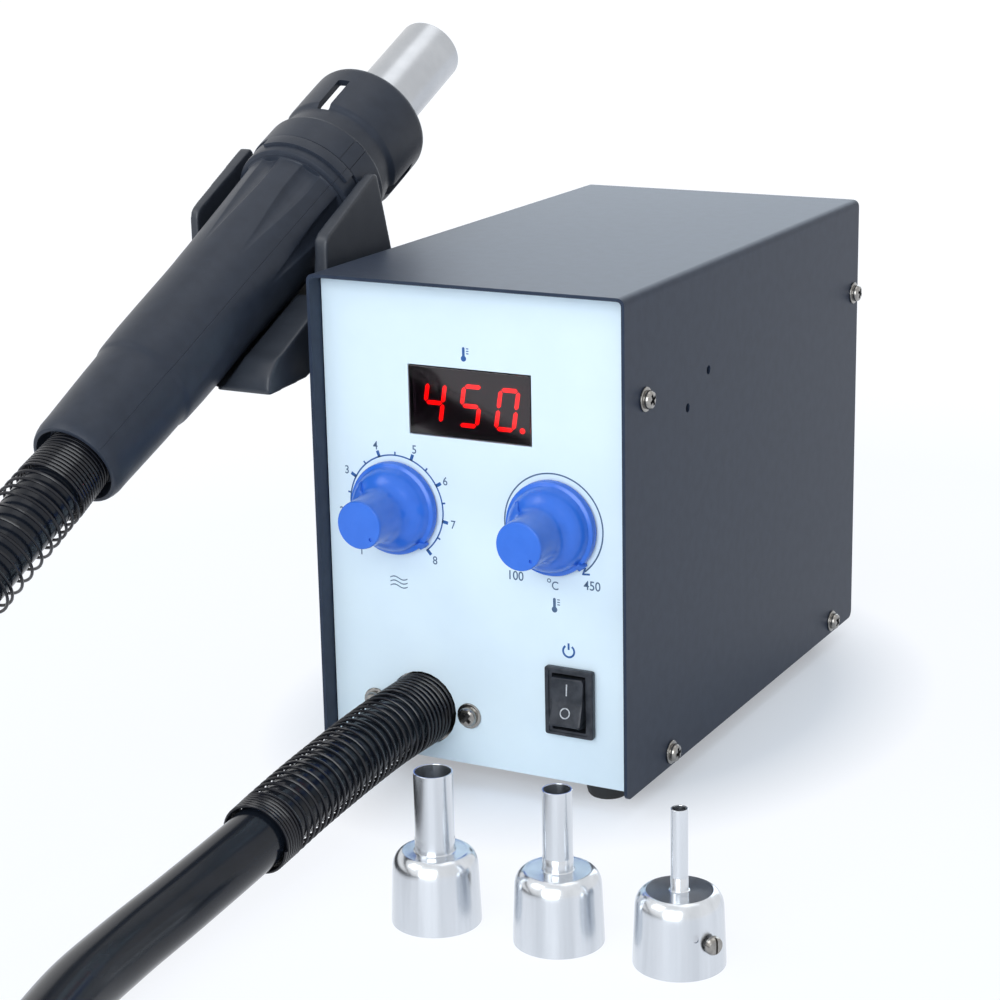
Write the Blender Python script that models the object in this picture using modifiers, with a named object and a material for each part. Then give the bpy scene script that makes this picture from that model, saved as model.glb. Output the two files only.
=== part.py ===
"""Hot air rework station: a bench unit with a blower, a handpiece on a hose, and three nozzles."""

from math import atan2, cos, pi, radians, sin

import bmesh
import bpy
from mathutils import Matrix, Vector

MM = 0.001

# Clearances
GAP = 0.3 * MM
WELD = 0.02 * MM

# Case
CASE_WIDTH = 100 * MM
CASE_DEPTH = 182.3 * MM
CASE_HEIGHT = 144.1 * MM
SHEET = 1.0 * MM
COVER_BEND = 2.5 * MM
COVER_CORNER = 2.5 * MM
PANEL_RECESS = 5.9 * MM
REAR_RECESS = 0.8 * MM
PANEL_FLANGE = 14 * MM
BASE_FLANGE_WIDTH = 56 * MM
TRAY_LIP = 12 * MM

# Feet
FOOT_HEIGHT = 6 * MM
FOOT_TOP_RADIUS = 6.8 * MM
FOOT_SOLE_RADIUS = 5.5 * MM
FOOT_STEM_RADIUS = 2.2 * MM
FOOT_BARB_RADIUS = 3.0 * MM
FOOT_BARB_HEIGHT = 2.5 * MM
FOOT_INSET_X = 14 * MM
FOOT_INSET_Y = 17 * MM

# Screws
SCREW_RADIUS = 1.4 * MM
SCREW_HEAD_RADIUS = 2.7 * MM
SCREW_HEAD_HEIGHT = 1.9 * MM
SCREW_WASHER_RADIUS = 3.5 * MM
SCREW_WASHER_THICKNESS = 0.5 * MM
SCREW_LENGTH = 6 * MM
COVER_SCREW_DROP = 30.3 * MM
COVER_SCREW_LOW = 4.3 * MM
COVER_SCREW_FRONT_Y = 13 * MM
COVER_SCREW_REAR_INSET = 4.4 * MM
TRAY_SCREW_FRONT_Y = 30.2 * MM
TRAY_SCREW_REAR_INSET = 19.8 * MM

# Display
WINDOW_WIDTH = 39.4 * MM
WINDOW_HEIGHT = 20.5 * MM
WINDOW_X = -1.1 * MM
WINDOW_DROP = 35.15 * MM
WINDOW_LIP = 2 * MM
WINDOW_LIP_THICKNESS = 1.5 * MM
WINDOW_PROUD = 0.2 * MM
DISPLAY_DEPTH = 8 * MM
DISPLAY_HEIGHT = 18 * MM
BOARD_THICKNESS = 1.6 * MM
CONTROL_BOARD_MARGIN = 8 * MM
CONTROL_BOARD_HEIGHT = 62 * MM
CONTROL_BOARD_DROP = 20.1 * MM

# Knobs and potentiometers
KNOB_DROP = 67.8 * MM
AIR_KNOB_INSET = 24.1 * MM
TEMPERATURE_KNOB_INSET = 25.1 * MM
KNOB_SKIRT_RADIUS = 13.8 * MM
KNOB_CAP_RADIUS = 7.0 * MM
KNOB_REACH = 21.5 * MM
KNOB_SKIRT_RISE = 9 * MM
KNOB_RECESS_RADIUS = 8.2 * MM
KNOB_RECESS_DEPTH = 6 * MM
KNOB_EDGE = 0.7 * MM
KNOB_NECK_FLARE = 1.2 * MM
KNOB_POINTER_ANGLE = radians(-50)
KNOB_POINTER_RADIUS = 1.3 * MM
SHAFT_RADIUS = 2.9 * MM
SHAFT_REACH = 17 * MM
BUSHING_RADIUS = 4.2 * MM
BUSHING_REACH = 4.6 * MM
NUT_RADIUS = 6.6 * MM
NUT_THICKNESS = 2 * MM
POT_RADIUS = 8.2 * MM
POT_SHAFT_DEPTH = 5 * MM

# Rocker switch
ROCKER_INSET = 20 * MM
ROCKER_Z = 25.15 * MM
BEZEL_WIDTH = 15.2 * MM
BEZEL_HEIGHT = 20.5 * MM
BEZEL_THICKNESS = 2 * MM
BEZEL_EDGE = 0.5 * MM
SWITCH_BODY_WIDTH = 12.9 * MM
SWITCH_BODY_HEIGHT = 18.8 * MM
SWITCH_BODY_DEPTH = 16 * MM
ROCKER_WIDTH = 10 * MM
ROCKER_HEIGHT = 15.2 * MM
ROCKER_PROUD = 3.4 * MM
ROCKER_VALLEY = 1.6 * MM
ROCKER_TAIL = 5.5 * MM
ROCKER_ROOM = 0.9 * MM
ROCKER_SWING = 3 * MM
ROCKER_TILT = radians(11)
ROCKER_PIN_RADIUS = 1.2 * MM
ROCKER_PIN_REACH = 0.6 * MM

# Hose port
PORT_INSET = 30.8 * MM
PORT_Z = 15.4 * MM
PORT_RADIUS = 11.3 * MM
PORT_SCREW_SPACING = 31.6 * MM
CLAMP_MARGIN = 5 * MM
CLAMP_HEIGHT = 24 * MM
CLAMP_THICKNESS = 1.5 * MM

# Hose and its springs
HOSE_RADIUS = 8.5 * MM
HOSE_STEP = 30 * MM
CURVE_STEP = 1.5 * MM
WIRE_RADIUS = 0.55 * MM
WIRE_POINTS = 9
CLOSE_PITCH = 1.3 * MM
PORT_SPRING_RADIUS = 10.45 * MM
FREE_SPRING_RADIUS = 9.7 * MM
PORT_SPRING_TURNS = (9, 21, 8)
PORT_SPRING_PITCHES = (1.9 * MM, 3.15 * MM, CLOSE_PITCH)
TAIL_SPRING_TURNS = (11, 10, 3)
TAIL_SPRING_PITCHES = (CLOSE_PITCH, 3.4 * MM, CLOSE_PITCH)

# Air path inside the case
BLOWER_Y = 72 * MM
BLOWER_WIDTH = 24 * MM
BLOWER_WALL = 1.5 * MM
BLOWER_LEG = 6 * MM
VOLUTE_START_RADIUS = 25 * MM
VOLUTE_GROWTH = 8.5 * MM
OUTLET_HEIGHT = 20 * MM
OUTLET_REACH = 42 * MM
INLET_RADIUS = 14 * MM
ROTOR_RADIUS = 20 * MM
ROTOR_BLADES = 11
ROTOR_SHAFT_RADIUS = 1.5 * MM
ROTOR_SHAFT_REACH = 9 * MM
ROTOR_DISC = 1.2 * MM
ROTOR_CLEARANCE = 1.2 * MM
ROTOR_HUB_HEIGHT = 6 * MM
BLADE_TIP_INSET = 0.5 * MM
ROTOR_BLADE_HEIGHT = 14 * MM
ROTOR_HUB_RADIUS = 4 * MM
BLADE_THICKNESS = 0.9 * MM
BLADE_ROOT_RADIUS = 12 * MM
MOTOR_RADIUS = 13 * MM
MOTOR_LENGTH = 19 * MM
MOTOR_EDGE = 1 * MM
MOTOR_PILOT_RADIUS = 5 * MM
DUCT_WALL = 1.2 * MM
DUCT_SPOUT_RADIUS = 6.8 * MM
DUCT_SPOUT_LENGTH = 7 * MM
DUCT_NECK = 3 * MM
DUCT_SIDES = 16

# Power and control inside the case
TRANSFORMER_INSET = 20.5 * MM
TRANSFORMER_REAR_INSET = 54.3 * MM
CORE_WIDTH = 24 * MM
CORE_LENGTH = 48 * MM
CORE_HEIGHT = 40 * MM
CORE_LIMB = 8 * MM
COIL_MARGIN = 4.5 * MM
MAIN_BOARD_SIDE_INSET = 7 * MM
MAIN_BOARD_REAR_INSET = 24.3 * MM
MAIN_BOARD_MARGIN = 3 * MM
MAIN_BOARD_CORE_MARGIN = 5 * MM
STANDOFF_HEIGHT = 6 * MM
STANDOFF_RADIUS = 3 * MM
STANDOFF_MARGIN = 1 * MM
HEAT_SINK_WIDTH = 30 * MM
HEAT_SINK_LENGTH = 24 * MM
HEAT_SINK_HEIGHT = 26 * MM
HEAT_SINK_BASE = 3 * MM
HEAT_SINK_FINS = 6
FIN_THICKNESS = 1.6 * MM

# Mains inlet and cooling slots in the rear panel
INLET_INSET = 28 * MM
INLET_Z = 26 * MM
INLET_FLANGE_WIDTH = 40 * MM
INLET_FLANGE_HEIGHT = 32 * MM
INLET_FLANGE_THICKNESS = 2.5 * MM
INLET_BODY_WIDTH = 30 * MM
INLET_BODY_HEIGHT = 26 * MM
INLET_BODY_DEPTH = 18 * MM
SOCKET_WIDTH = 24 * MM
SOCKET_HEIGHT = 16 * MM
SOCKET_DEPTH = 16 * MM
SOCKET_RISE = 3.5 * MM
PIN_WIDTH = 2 * MM
PIN_HEIGHT = 5 * MM
PIN_LENGTH = 10 * MM
PIN_SPACING = 14 * MM
PIN_STAGGER = 2 * MM
PIN_ROOT = 1 * MM
VENT_SLOTS = 9
VENT_PITCH = 8 * MM
VENT_WIDTH = 3 * MM
VENT_HEIGHT = 34 * MM
VENT_Z = 96 * MM

# Handpiece: lengths run from its tail along its own axis
FLANGE_OUT = 30.276 * MM
FLANGE_Y = 50.437 * MM
FLANGE_RISE = 14.31 * MM
HANDPIECE_TILT = radians(26.46)
HANDPIECE_YAW = radians(2.23)
TAIL_RADIUS = 13.3 * MM
GRIP_STEP = 35 * MM
GRIP_STEP_HEIGHT = 0.5 * MM
GRIP_REAR_RADIUS = 14.0 * MM
GRIP_MIDDLE_RADIUS = 15.9 * MM
GRIP_FRONT_RADIUS = 17.9 * MM
GRIP_SWELL = 0.8 * MM
GRIP_TAPER = 62 * MM
TAIL_BAND = 5 * MM
TAIL_EDGE = 0.9 * MM
HANDLE_WALL = 2.4 * MM
FLANGE_THICKNESS = 7 * MM
HANDLE_LENGTH = 131 * MM
FLANGE_RADIUS = 20.3 * MM
SEAM_ANGLE = radians(60)
HOSE_SEAT = 24 * MM
SPRING_SEAT = 4 * MM
FLUTE_COUNT = 8
FLUTE_FIRST = radians(-7.5)
FLUTE_LENGTH = 38 * MM
FLUTE_SETBACK = 1 * MM
FLUTE_RADIUS = 4.2 * MM
FLUTE_TIP_RADIUS = 0.3 * MM
FLUTE_DEPTH = 1.9 * MM
COLLAR_BASE_LENGTH = 11 * MM
COLLAR_BASE_RADIUS = 20.5 * MM
COLLAR_NECK_RADIUS = 18.5 * MM
COLLAR_NECK_LENGTH = 17 * MM
COLLAR_SHOULDER_LENGTH = 19 * MM
COLLAR_LENGTH = 39.5 * MM
COLLAR_RADIUS = 19.4 * MM
COLLAR_WALL = 2 * MM
COLLAR_EDGE = 1.2 * MM
COLLAR_DISC = 3.2 * MM
COLLAR_SLOT_WIDTH = 3.2 * MM
COLLAR_SLOT_LENGTH = 15 * MM
COLLAR_SLOT_ANGLES = (radians(2), radians(-62), radians(118), radians(182))
BARREL_RADIUS = 10.6 * MM
BARREL_WALL = 0.6 * MM
BARREL_REACH = 81.4 * MM
BARREL_LIP = 2.4 * MM
BARREL_LIP_THICKNESS = 1.2 * MM
HEATER_SETBACK = 9 * MM
HEATER_LENGTH = 64 * MM
HEATER_HOLES = 6
HEATER_HOLE_RADIUS = 1.6 * MM
HEATER_HOLE_CIRCLE = 6 * MM

# Cradle: rises and drops are from the case's top
CRADLE_HALF_WIDTH = 24.6 * MM
CRADLE_EAR_THICKNESS = 7 * MM
CRADLE_ROOM = 0.4 * MM
CRADLE_ROOM_START = 4 * MM
CRADLE_PAD_SINK = 3.7 * MM
CRADLE_EAR_STEP = 0.4 * MM
CRADLE_TROUGH_RADIUS = 17.6 * MM
CRADLE_NOSE_Y = -12.2 * MM
CRADLE_NOSE_DROP = 34 * MM
CRADLE_RIM_DROP = 10 * MM
EAR_FRONT_Y = 21.1 * MM
EAR_FOOT_SINK = 6 * MM
EAR_KNEE_RISE = 6.3 * MM
EAR_APEX_Y = 51.1 * MM
EAR_APEX_RISE = 22.2 * MM
EAR_BACK_Y = 60.5 * MM
EAR_BACK_DROP = 9.6 * MM
OUTER_EAR_SHIFT = 1.8 * MM
OUTER_EAR_RISE = 5.2 * MM
CRADLE_EDGE = 1.2 * MM
CRADLE_SCREWS = ((42.2 * MM, 39.2 * MM), (57.1 * MM, 31.2 * MM))
NOSE_LENGTH = 9 * MM
NOSE_HEIGHT = 10 * MM
BELLY_LENGTH = 20.5 * MM
BELLY_RISE = 1.2 * MM
HEEL_LENGTH = 4 * MM
BACK_INSET = 1.5 * MM
CRADLE_PAD_MARGIN = 8 * MM
CRADLE_PAD_DROP = 24 * MM
CRADLE_SCREW_LENGTH = 12 * MM

# Nozzles
NOZZLE_HEIGHT = 41 * MM
BELL_HEIGHT = 21 * MM
BELL_MOUTH_RADIUS = 11.7 * MM
BELL_TOP_RADIUS = 10.8 * MM
BELL_SHOULDER = 3.2 * MM
NOZZLE_WALL = 0.5 * MM
NOZZLE_SCREW_Z = 9 * MM
NOZZLE_SCREW_RADIUS = 1.2 * MM
NOZZLE_SCREW_HEAD_RADIUS = 2.4 * MM
NOZZLE_SCREW_HEAD = 1.9 * MM
NOZZLE_SCREW_LENGTH = 1.3 * MM
NOZZLES = {
    "large": (32.3 * MM, -78.5 * MM, 5.1 * MM, radians(150)),
    "medium": (66.2 * MM, -75.7 * MM, 3.85 * MM, radians(150)),
    "small": (98.7 * MM, -73.9 * MM, 2.15 * MM, radians(-25)),
}

# Places that follow from the sizes above
BASE = FOOT_HEIGHT
CASE_TOP = BASE + CASE_HEIGHT
WALL_INNER = CASE_WIDTH / 2 - SHEET
LINER = WALL_INNER - GAP
TRAY_TOP = BASE + GAP + SHEET
PANEL_FACE = PANEL_RECESS
PANEL_BACK = PANEL_FACE + SHEET
REAR_FACE = CASE_DEPTH - REAR_RECESS
PANEL_TOP = CASE_TOP - SHEET - GAP
WINDOW_Z = CASE_HEIGHT - WINDOW_DROP
KNOB_Z = CASE_HEIGHT - KNOB_DROP
AIR_KNOB_X = AIR_KNOB_INSET - CASE_WIDTH / 2
TEMPERATURE_KNOB_X = CASE_WIDTH / 2 - TEMPERATURE_KNOB_INSET
ROCKER_X = CASE_WIDTH / 2 - ROCKER_INSET
PORT_X = PORT_INSET - CASE_WIDTH / 2
LENS_BACK = PANEL_BACK + GAP + WINDOW_LIP_THICKNESS
BOARD_FRONT = LENS_BACK + GAP + DISPLAY_DEPTH + GAP
OUTLET_Z = BASE + PORT_Z
BLOWER_Z = OUTLET_Z + VOLUTE_START_RADIUS + VOLUTE_GROWTH - OUTLET_HEIGHT / 2
CLAMP_BACK = PANEL_BACK + GAP + CLAMP_THICKNESS
INLET_X = CASE_WIDTH / 2 - INLET_INSET
TRANSFORMER_X = CASE_WIDTH / 2 - TRANSFORMER_INSET
TRANSFORMER_Y = CASE_DEPTH - TRANSFORMER_REAR_INSET
MAIN_BOARD_LEFT = MAIN_BOARD_SIDE_INSET - CASE_WIDTH / 2
MAIN_BOARD_RIGHT = TRANSFORMER_X - CORE_WIDTH / 2 - MAIN_BOARD_CORE_MARGIN
MAIN_BOARD_FRONT = BLOWER_Y + VOLUTE_START_RADIUS + VOLUTE_GROWTH + MAIN_BOARD_MARGIN
MAIN_BOARD_REAR = CASE_DEPTH - MAIN_BOARD_REAR_INSET
FLANGE_START = HANDLE_LENGTH - FLANGE_THICKNESS
FLUTE_END = FLANGE_START - FLUTE_SETBACK
FLUTE_START = FLUTE_END - FLUTE_LENGTH
COLLAR_BASE_END = HANDLE_LENGTH + COLLAR_BASE_LENGTH
COLLAR_NECK = HANDLE_LENGTH + COLLAR_NECK_LENGTH
COLLAR_START = HANDLE_LENGTH + COLLAR_SHOULDER_LENGTH
COLLAR_END = HANDLE_LENGTH + COLLAR_LENGTH
COLLAR_SLOT_END = COLLAR_NECK + COLLAR_SLOT_LENGTH
BARREL_END = HANDLE_LENGTH + BARREL_REACH
HEATER_START = HANDLE_LENGTH + HEATER_SETBACK
CRADLE_HALF_ROOM = COLLAR_BASE_RADIUS + CRADLE_ROOM
CRADLE_NOSE_Z = CASE_TOP - CRADLE_NOSE_DROP
EAR_KNEE_Z = CASE_TOP + EAR_KNEE_RISE
EAR_APEX_Z = CASE_TOP + EAR_APEX_RISE
EAR_BACK_Z = CASE_TOP - EAR_BACK_DROP

# Route of the hose from the port to the handpiece: x from the port's middle, y, and height above the bench
HOSE_FROM_PORT = (
    (0, 15.5, 21.4),
    (0, 0, 21.4),
    (-0.8, -22, 20.5),
    (-0.8, -57.5, 17.6),
    (-0.8, -87.5, 13.7),
    (-0.6, -118, 10.7),
    (0.2, -145, 9.0),
    (4.2, -172, 8.7),
    (15.2, -205, 8.7),
    (35.2, -242, 8.7),
    (55.2, -284, 8.7),
    (63.2, -328, 8.7),
    (53.2, -366, 8.7),
    (27.2, -394, 8.7),
    (-8.8, -404, 8.7),
    (-43.8, -392, 8.7),
    (-68.8, -364, 8.7),
    (-77.8, -326, 8.7),
    (-77.3, -288, 8.9),
    (-74.8, -251, 16.2),
    (-72.8, -218, 30.6),
)
HOSE_ROOT_Y = HOSE_FROM_PORT[0][1] * MM
HOSE_PARTING = -92 * MM
HOSE_PARTING_LEAD = -128 * MM

# Colours
CASE_PAINT = (0.055, 0.062, 0.085)
PANEL_PAINT = (0.80, 0.90, 0.95)
BLACK_PLASTIC = (0.035, 0.037, 0.045)
HANDLE_PLASTIC = (0.045, 0.048, 0.058)
KNOB_BLUE = (0.035, 0.16, 0.75)
STEEL = (0.75, 0.75, 0.77)
ZINC = (0.62, 0.63, 0.66)
RUBBER = (0.02, 0.02, 0.022)
SMOKE = (0.03, 0.005, 0.015)
BOARD_GREEN = (0.03, 0.16, 0.07)
COPPER = (0.55, 0.22, 0.08)
CORE_GREY = (0.25, 0.25, 0.27)
CERAMIC = (0.85, 0.82, 0.74)
HOUSING_WHITE = (0.75, 0.75, 0.72)

ALONG_X = (0, pi / 2, 0)
ALONG_MINUS_X = (0, -pi / 2, 0)
TOWARD_FRONT = (pi / 2, 0, 0)
SIDE_OUTLINE = (pi / 2, 0, pi / 2)


def clear_scene():
    for obj in list(bpy.data.objects):
        bpy.data.objects.remove(obj, do_unlink=True)


def make_collection(name):
    collection = bpy.data.collections.new(name)
    bpy.context.scene.collection.children.link(collection)
    return collection


clear_scene()
PARTS = make_collection("hot_air_rework_station")
TOOLS = make_collection("cutters_and_guides")


def make_empty(name, matrix, parent=None):
    empty = bpy.data.objects.new(name, None)
    PARTS.objects.link(empty)
    empty.parent = parent
    empty.matrix_local = matrix
    return empty


def handpiece_matrix():
    """The handpiece's frame: z along its axis to the nozzle end, x upward, y to the right."""
    flat = cos(HANDPIECE_TILT)
    along = Vector((flat * sin(HANDPIECE_YAW), flat * cos(HANDPIECE_YAW), sin(HANDPIECE_TILT)))
    right = along.cross(Vector((0, 0, 1))).normalized()
    upward = right.cross(along)
    matrix = Matrix((upward, right, along)).transposed().to_4x4()
    flange = Vector((-CASE_WIDTH / 2 - FLANGE_OUT, FLANGE_Y, CASE_TOP + FLANGE_RISE))
    matrix.translation = flange - HANDLE_LENGTH * along
    return matrix


STATION = make_empty("station_frame", Matrix.Identity(4))
HANDPIECE = make_empty("handpiece_axis", handpiece_matrix(), STATION)


def paint(name, colour, roughness, metallic=0.0):
    material = bpy.data.materials.get(name)
    if material is None:
        material = bpy.data.materials.new(name)
        material.use_nodes = True
        shader = material.node_tree.nodes["Principled BSDF"]
        shader.inputs["Base Color"].default_value = (*colour, 1.0)
        shader.inputs["Roughness"].default_value = roughness
        shader.inputs["Metallic"].default_value = metallic
    return material


CASE = paint("case_powder_coat", CASE_PAINT, 0.45)
PANEL = paint("panel_paint", PANEL_PAINT, 0.4)
PLASTIC = paint("black_plastic", BLACK_PLASTIC, 0.35)
HANDLE = paint("handle_plastic", HANDLE_PLASTIC, 0.55)
BLUE = paint("knob_plastic", KNOB_BLUE, 0.3)
CHROME = paint("polished_steel", STEEL, 0.12, 1.0)
NICKEL = paint("screw_plating", ZINC, 0.25, 1.0)
BLACK_RUBBER = paint("black_rubber", RUBBER, 0.3)
SMOKED = paint("smoked_lens", SMOKE, 0.08)
LAMINATE = paint("board_laminate", BOARD_GREEN, 0.4)
WINDING = paint("coil_copper", COPPER, 0.4)
IRON = paint("core_iron", CORE_GREY, 0.5, 0.6)
CERAMIC_WHITE = paint("heater_ceramic", CERAMIC, 0.6)
WHITE_PLASTIC = paint("blower_plastic", HOUSING_WHITE, 0.4)
ALUMINIUM = paint("heat_sink_aluminium", STEEL, 0.4, 0.9)


def finish(obj, location=(0, 0, 0), rotation=(0, 0, 0), material=None, parent=STATION):
    """Place an object. Without a material it is a cutter or a guide."""
    obj.location = location
    obj.rotation_euler = rotation
    obj.parent = parent
    collection = PARTS if material else TOOLS
    collection.objects.link(obj)
    if material:
        obj.data.materials.append(material)
        obj.data.shade_smooth()
        obj.data.set_sharp_from_angle(angle=radians(35))
    else:
        obj.hide_render = True
        obj.display_type = "WIRE"
    return obj


def from_bmesh(name, bm):
    mesh = bpy.data.meshes.new(name)
    bm.to_mesh(mesh)
    bm.free()
    return bpy.data.objects.new(name, mesh)


def block(name, low, high, material=None, parent=STATION):
    """A box between two corners, its origin at its middle."""
    low = Vector(low)
    high = Vector(high)
    bm = bmesh.new()
    bmesh.ops.create_cube(bm, size=1.0)
    bmesh.ops.scale(bm, vec=high - low, verts=bm.verts)
    return finish(from_bmesh(name, bm), (low + high) / 2, (0, 0, 0), material, parent)


def rod(name, radius, start, length, place, rotation=(0, 0, 0), sides=12, material=None, parent=STATION):
    """A round bar along its own z from start, placed and turned as given."""
    bm = bmesh.new()
    bmesh.ops.create_cone(
        bm, cap_ends=True, segments=sides, radius1=radius, radius2=radius, depth=length
    )
    bmesh.ops.translate(bm, vec=(0, 0, start + length / 2), verts=bm.verts)
    return finish(from_bmesh(name, bm), place, rotation, material, parent)


def turned(name, profile, sides, place, rotation=(0, 0, 0), material=None, ring=False, parent=STATION):
    """Turn a profile of (radius, height) points, which runs down the outer side, about its own z."""
    mesh = bpy.data.meshes.new(name)
    points = [(radius, 0, height) for radius, height in profile]
    edges = [(i, i + 1) for i in range(len(points) - 1)]
    if ring:
        edges.append((len(points) - 1, 0))
    mesh.from_pydata(points, edges, [])
    obj = bpy.data.objects.new(name, mesh)
    screw = obj.modifiers.new("turn", "SCREW")
    screw.steps = sides
    screw.render_steps = sides
    screw.use_merge_vertices = True
    screw.merge_threshold = WELD
    finish(obj, place, rotation, material, parent)
    return obj


def plate(name, outline, thickness, place, rotation=(0, 0, 0), material=None, parent=STATION):
    """A flat outline in its own x and y, thick about its own z."""
    curve = bpy.data.curves.new(name, "CURVE")
    curve.dimensions = "2D"
    curve.fill_mode = "BOTH"
    curve.extrude = thickness / 2
    spline = curve.splines.new("POLY")
    spline.points.add(len(outline) - 1)
    for point, (x, y) in zip(spline.points, outline):
        point.co = (x, y, 0, 1)
    spline.use_cyclic_u = True
    return finish(curve_to_mesh(name, curve), place, rotation, material, parent)


def tube(name, points, radius, resolution, material=None, parent=STATION):
    """A round tube through points, with filled ends."""
    curve = bpy.data.curves.new(name, "CURVE")
    curve.dimensions = "3D"
    curve.bevel_depth = radius
    curve.bevel_resolution = resolution
    curve.use_fill_caps = True
    spline = curve.splines.new("POLY")
    spline.points.add(len(points) - 1)
    for point, place in zip(spline.points, points):
        point.co = (*place, 1)
    return finish(curve_to_mesh(name, curve), (0, 0, 0), (0, 0, 0), material, parent)


def curve_to_mesh(name, curve):
    """Make a closed mesh object of a curve."""
    guide = bpy.data.objects.new(name + "_curve", curve)
    TOOLS.objects.link(guide)
    graph = bpy.context.evaluated_depsgraph_get()
    mesh = bpy.data.meshes.new_from_object(guide.evaluated_get(graph))
    bpy.data.objects.remove(guide, do_unlink=True)
    bm = bmesh.new()
    bm.from_mesh(mesh)
    bmesh.ops.remove_doubles(bm, verts=bm.verts, dist=WELD)
    bmesh.ops.recalc_face_normals(bm, faces=bm.faces)
    bm.to_mesh(mesh)
    bm.free()
    mesh.name = name
    return bpy.data.objects.new(name, mesh)


def combine(target, operation, tools):
    """Add a Boolean to target for each tool."""
    for tool in tools:
        boolean = target.modifiers.new(tool.name, "BOOLEAN")
        boolean.operation = operation
        boolean.object = tool
    return target


def cut(target, *tools):
    return combine(target, "DIFFERENCE", tools)


def join(target, *tools):
    return combine(target, "UNION", tools)


def bevel(obj, width, segments=2, angle=radians(40)):
    modifier = obj.modifiers.new("edges", "BEVEL")
    modifier.width = width
    modifier.segments = segments
    modifier.limit_method = "ANGLE"
    modifier.angle_limit = angle
    return obj


def drill(name, radius, place, rotation, reach=4 * MM, sides=8, parent=STATION):
    """A round cutter that reaches as far to both sides of its place."""
    return rod(name, radius, -reach, 2 * reach, place, rotation, sides, None, parent)


def pan_screw(name, place, rotation, length=SCREW_LENGTH, washer=True):
    """A pan-head screw whose own z points out of its head; its place is on the face that it holds."""
    foot = GAP / 2
    head_radius = SCREW_HEAD_RADIUS
    head_foot = foot + (SCREW_WASHER_THICKNESS if washer else 0)
    top = head_foot + SCREW_HEAD_HEIGHT
    profile = [
        (0, top),
        (head_radius * 0.7, top),
        (head_radius, top - SCREW_HEAD_HEIGHT * 0.5),
        (head_radius, head_foot),
    ]
    if washer:
        profile += [(SCREW_WASHER_RADIUS, head_foot), (SCREW_WASHER_RADIUS, foot)]
    profile += [(SCREW_RADIUS, foot), (SCREW_RADIUS, -length), (0, -length)]
    return turned(name, profile, 8, place, rotation, NICKEL)


# Case


def cover_screw_places():
    """Places of a side wall's screws, as y and z."""
    return {
        "upper_front": (COVER_SCREW_FRONT_Y, BASE + CASE_HEIGHT - COVER_SCREW_DROP),
        "upper_rear": (CASE_DEPTH - COVER_SCREW_REAR_INSET, BASE + CASE_HEIGHT - COVER_SCREW_DROP),
        "lower_front": (TRAY_SCREW_FRONT_Y, BASE + COVER_SCREW_LOW),
        "lower_rear": (CASE_DEPTH - TRAY_SCREW_REAR_INSET, BASE + COVER_SCREW_LOW),
    }


def cradle_hole_places():
    return [(y, CASE_TOP - drop) for y, drop in CRADLE_SCREWS]


def cover_section():
    """The cover's outer outline in x and z, from the left foot of the U to the right one."""
    half = CASE_WIDTH / 2
    top = BASE + CASE_HEIGHT
    points = [(-half, BASE)]
    for corner, first in ((-1, 180), (1, 90)):
        centre_x = corner * (half - COVER_BEND)
        for step in range(5):
            angle = radians(first - step * 22.5)
            x = centre_x + COVER_BEND * cos(angle)
            points.append((x, top - COVER_BEND + COVER_BEND * sin(angle)))
    points.append((half, BASE))
    return points


def make_cover():
    bm = bmesh.new()
    section = cover_section()
    front = [bm.verts.new((x, 0, z)) for x, z in section]
    rear = [bm.verts.new((x, CASE_DEPTH, z)) for x, z in section]
    for i in range(len(section) - 1):
        bm.faces.new((front[i], front[i + 1], rear[i + 1], rear[i]))
    corners = [front[0], front[-1], rear[0], rear[-1]]
    bmesh.ops.bevel(bm, geom=corners, offset=COVER_CORNER, segments=3, profile=0.5, affect="VERTICES")
    bmesh.ops.recalc_face_normals(bm, faces=bm.faces)
    top_face = max(bm.faces, key=lambda face: face.calc_center_median().z)
    if top_face.normal.z < 0:
        bmesh.ops.reverse_faces(bm, faces=bm.faces)
    cover = finish(from_bmesh("cover", bm), material=CASE)
    solidify = cover.modifiers.new("sheet", "SOLIDIFY")
    solidify.thickness = SHEET
    solidify.offset = -1
    for side in (-1, 1):
        x = side * CASE_WIDTH / 2
        for place, (y, z) in cover_screw_places().items():
            cut(cover, drill(f"cover_hole_{side}_{place}", SCREW_RADIUS + GAP, (x, y, z), ALONG_X))
        for number, (y, z) in enumerate(cradle_hole_places()):
            cut(cover, drill(f"cradle_hole_{side}_{number}", SCREW_RADIUS + GAP, (x, y, z), ALONG_X))
    return cover


def make_cover_screws():
    for side, rotation, word in ((-1, ALONG_MINUS_X, "left"), (1, ALONG_X, "right")):
        for place, (y, z) in cover_screw_places().items():
            pan_screw(f"cover_screw_{word}_{place}", (side * CASE_WIDTH / 2, y, z), rotation)


def foot_places():
    across = CASE_WIDTH / 2 - FOOT_INSET_X
    return {
        "front_left": (-across, FOOT_INSET_Y),
        "front_right": (across, FOOT_INSET_Y),
        "rear_left": (-across, CASE_DEPTH - FOOT_INSET_Y),
        "rear_right": (across, CASE_DEPTH - FOOT_INSET_Y),
    }


def standoff_places():
    inset = STANDOFF_RADIUS + STANDOFF_MARGIN
    across = (MAIN_BOARD_LEFT + inset, MAIN_BOARD_RIGHT - inset)
    along = (MAIN_BOARD_FRONT + inset, MAIN_BOARD_REAR - inset)
    return [(x, y) for x in across for y in along]


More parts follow.
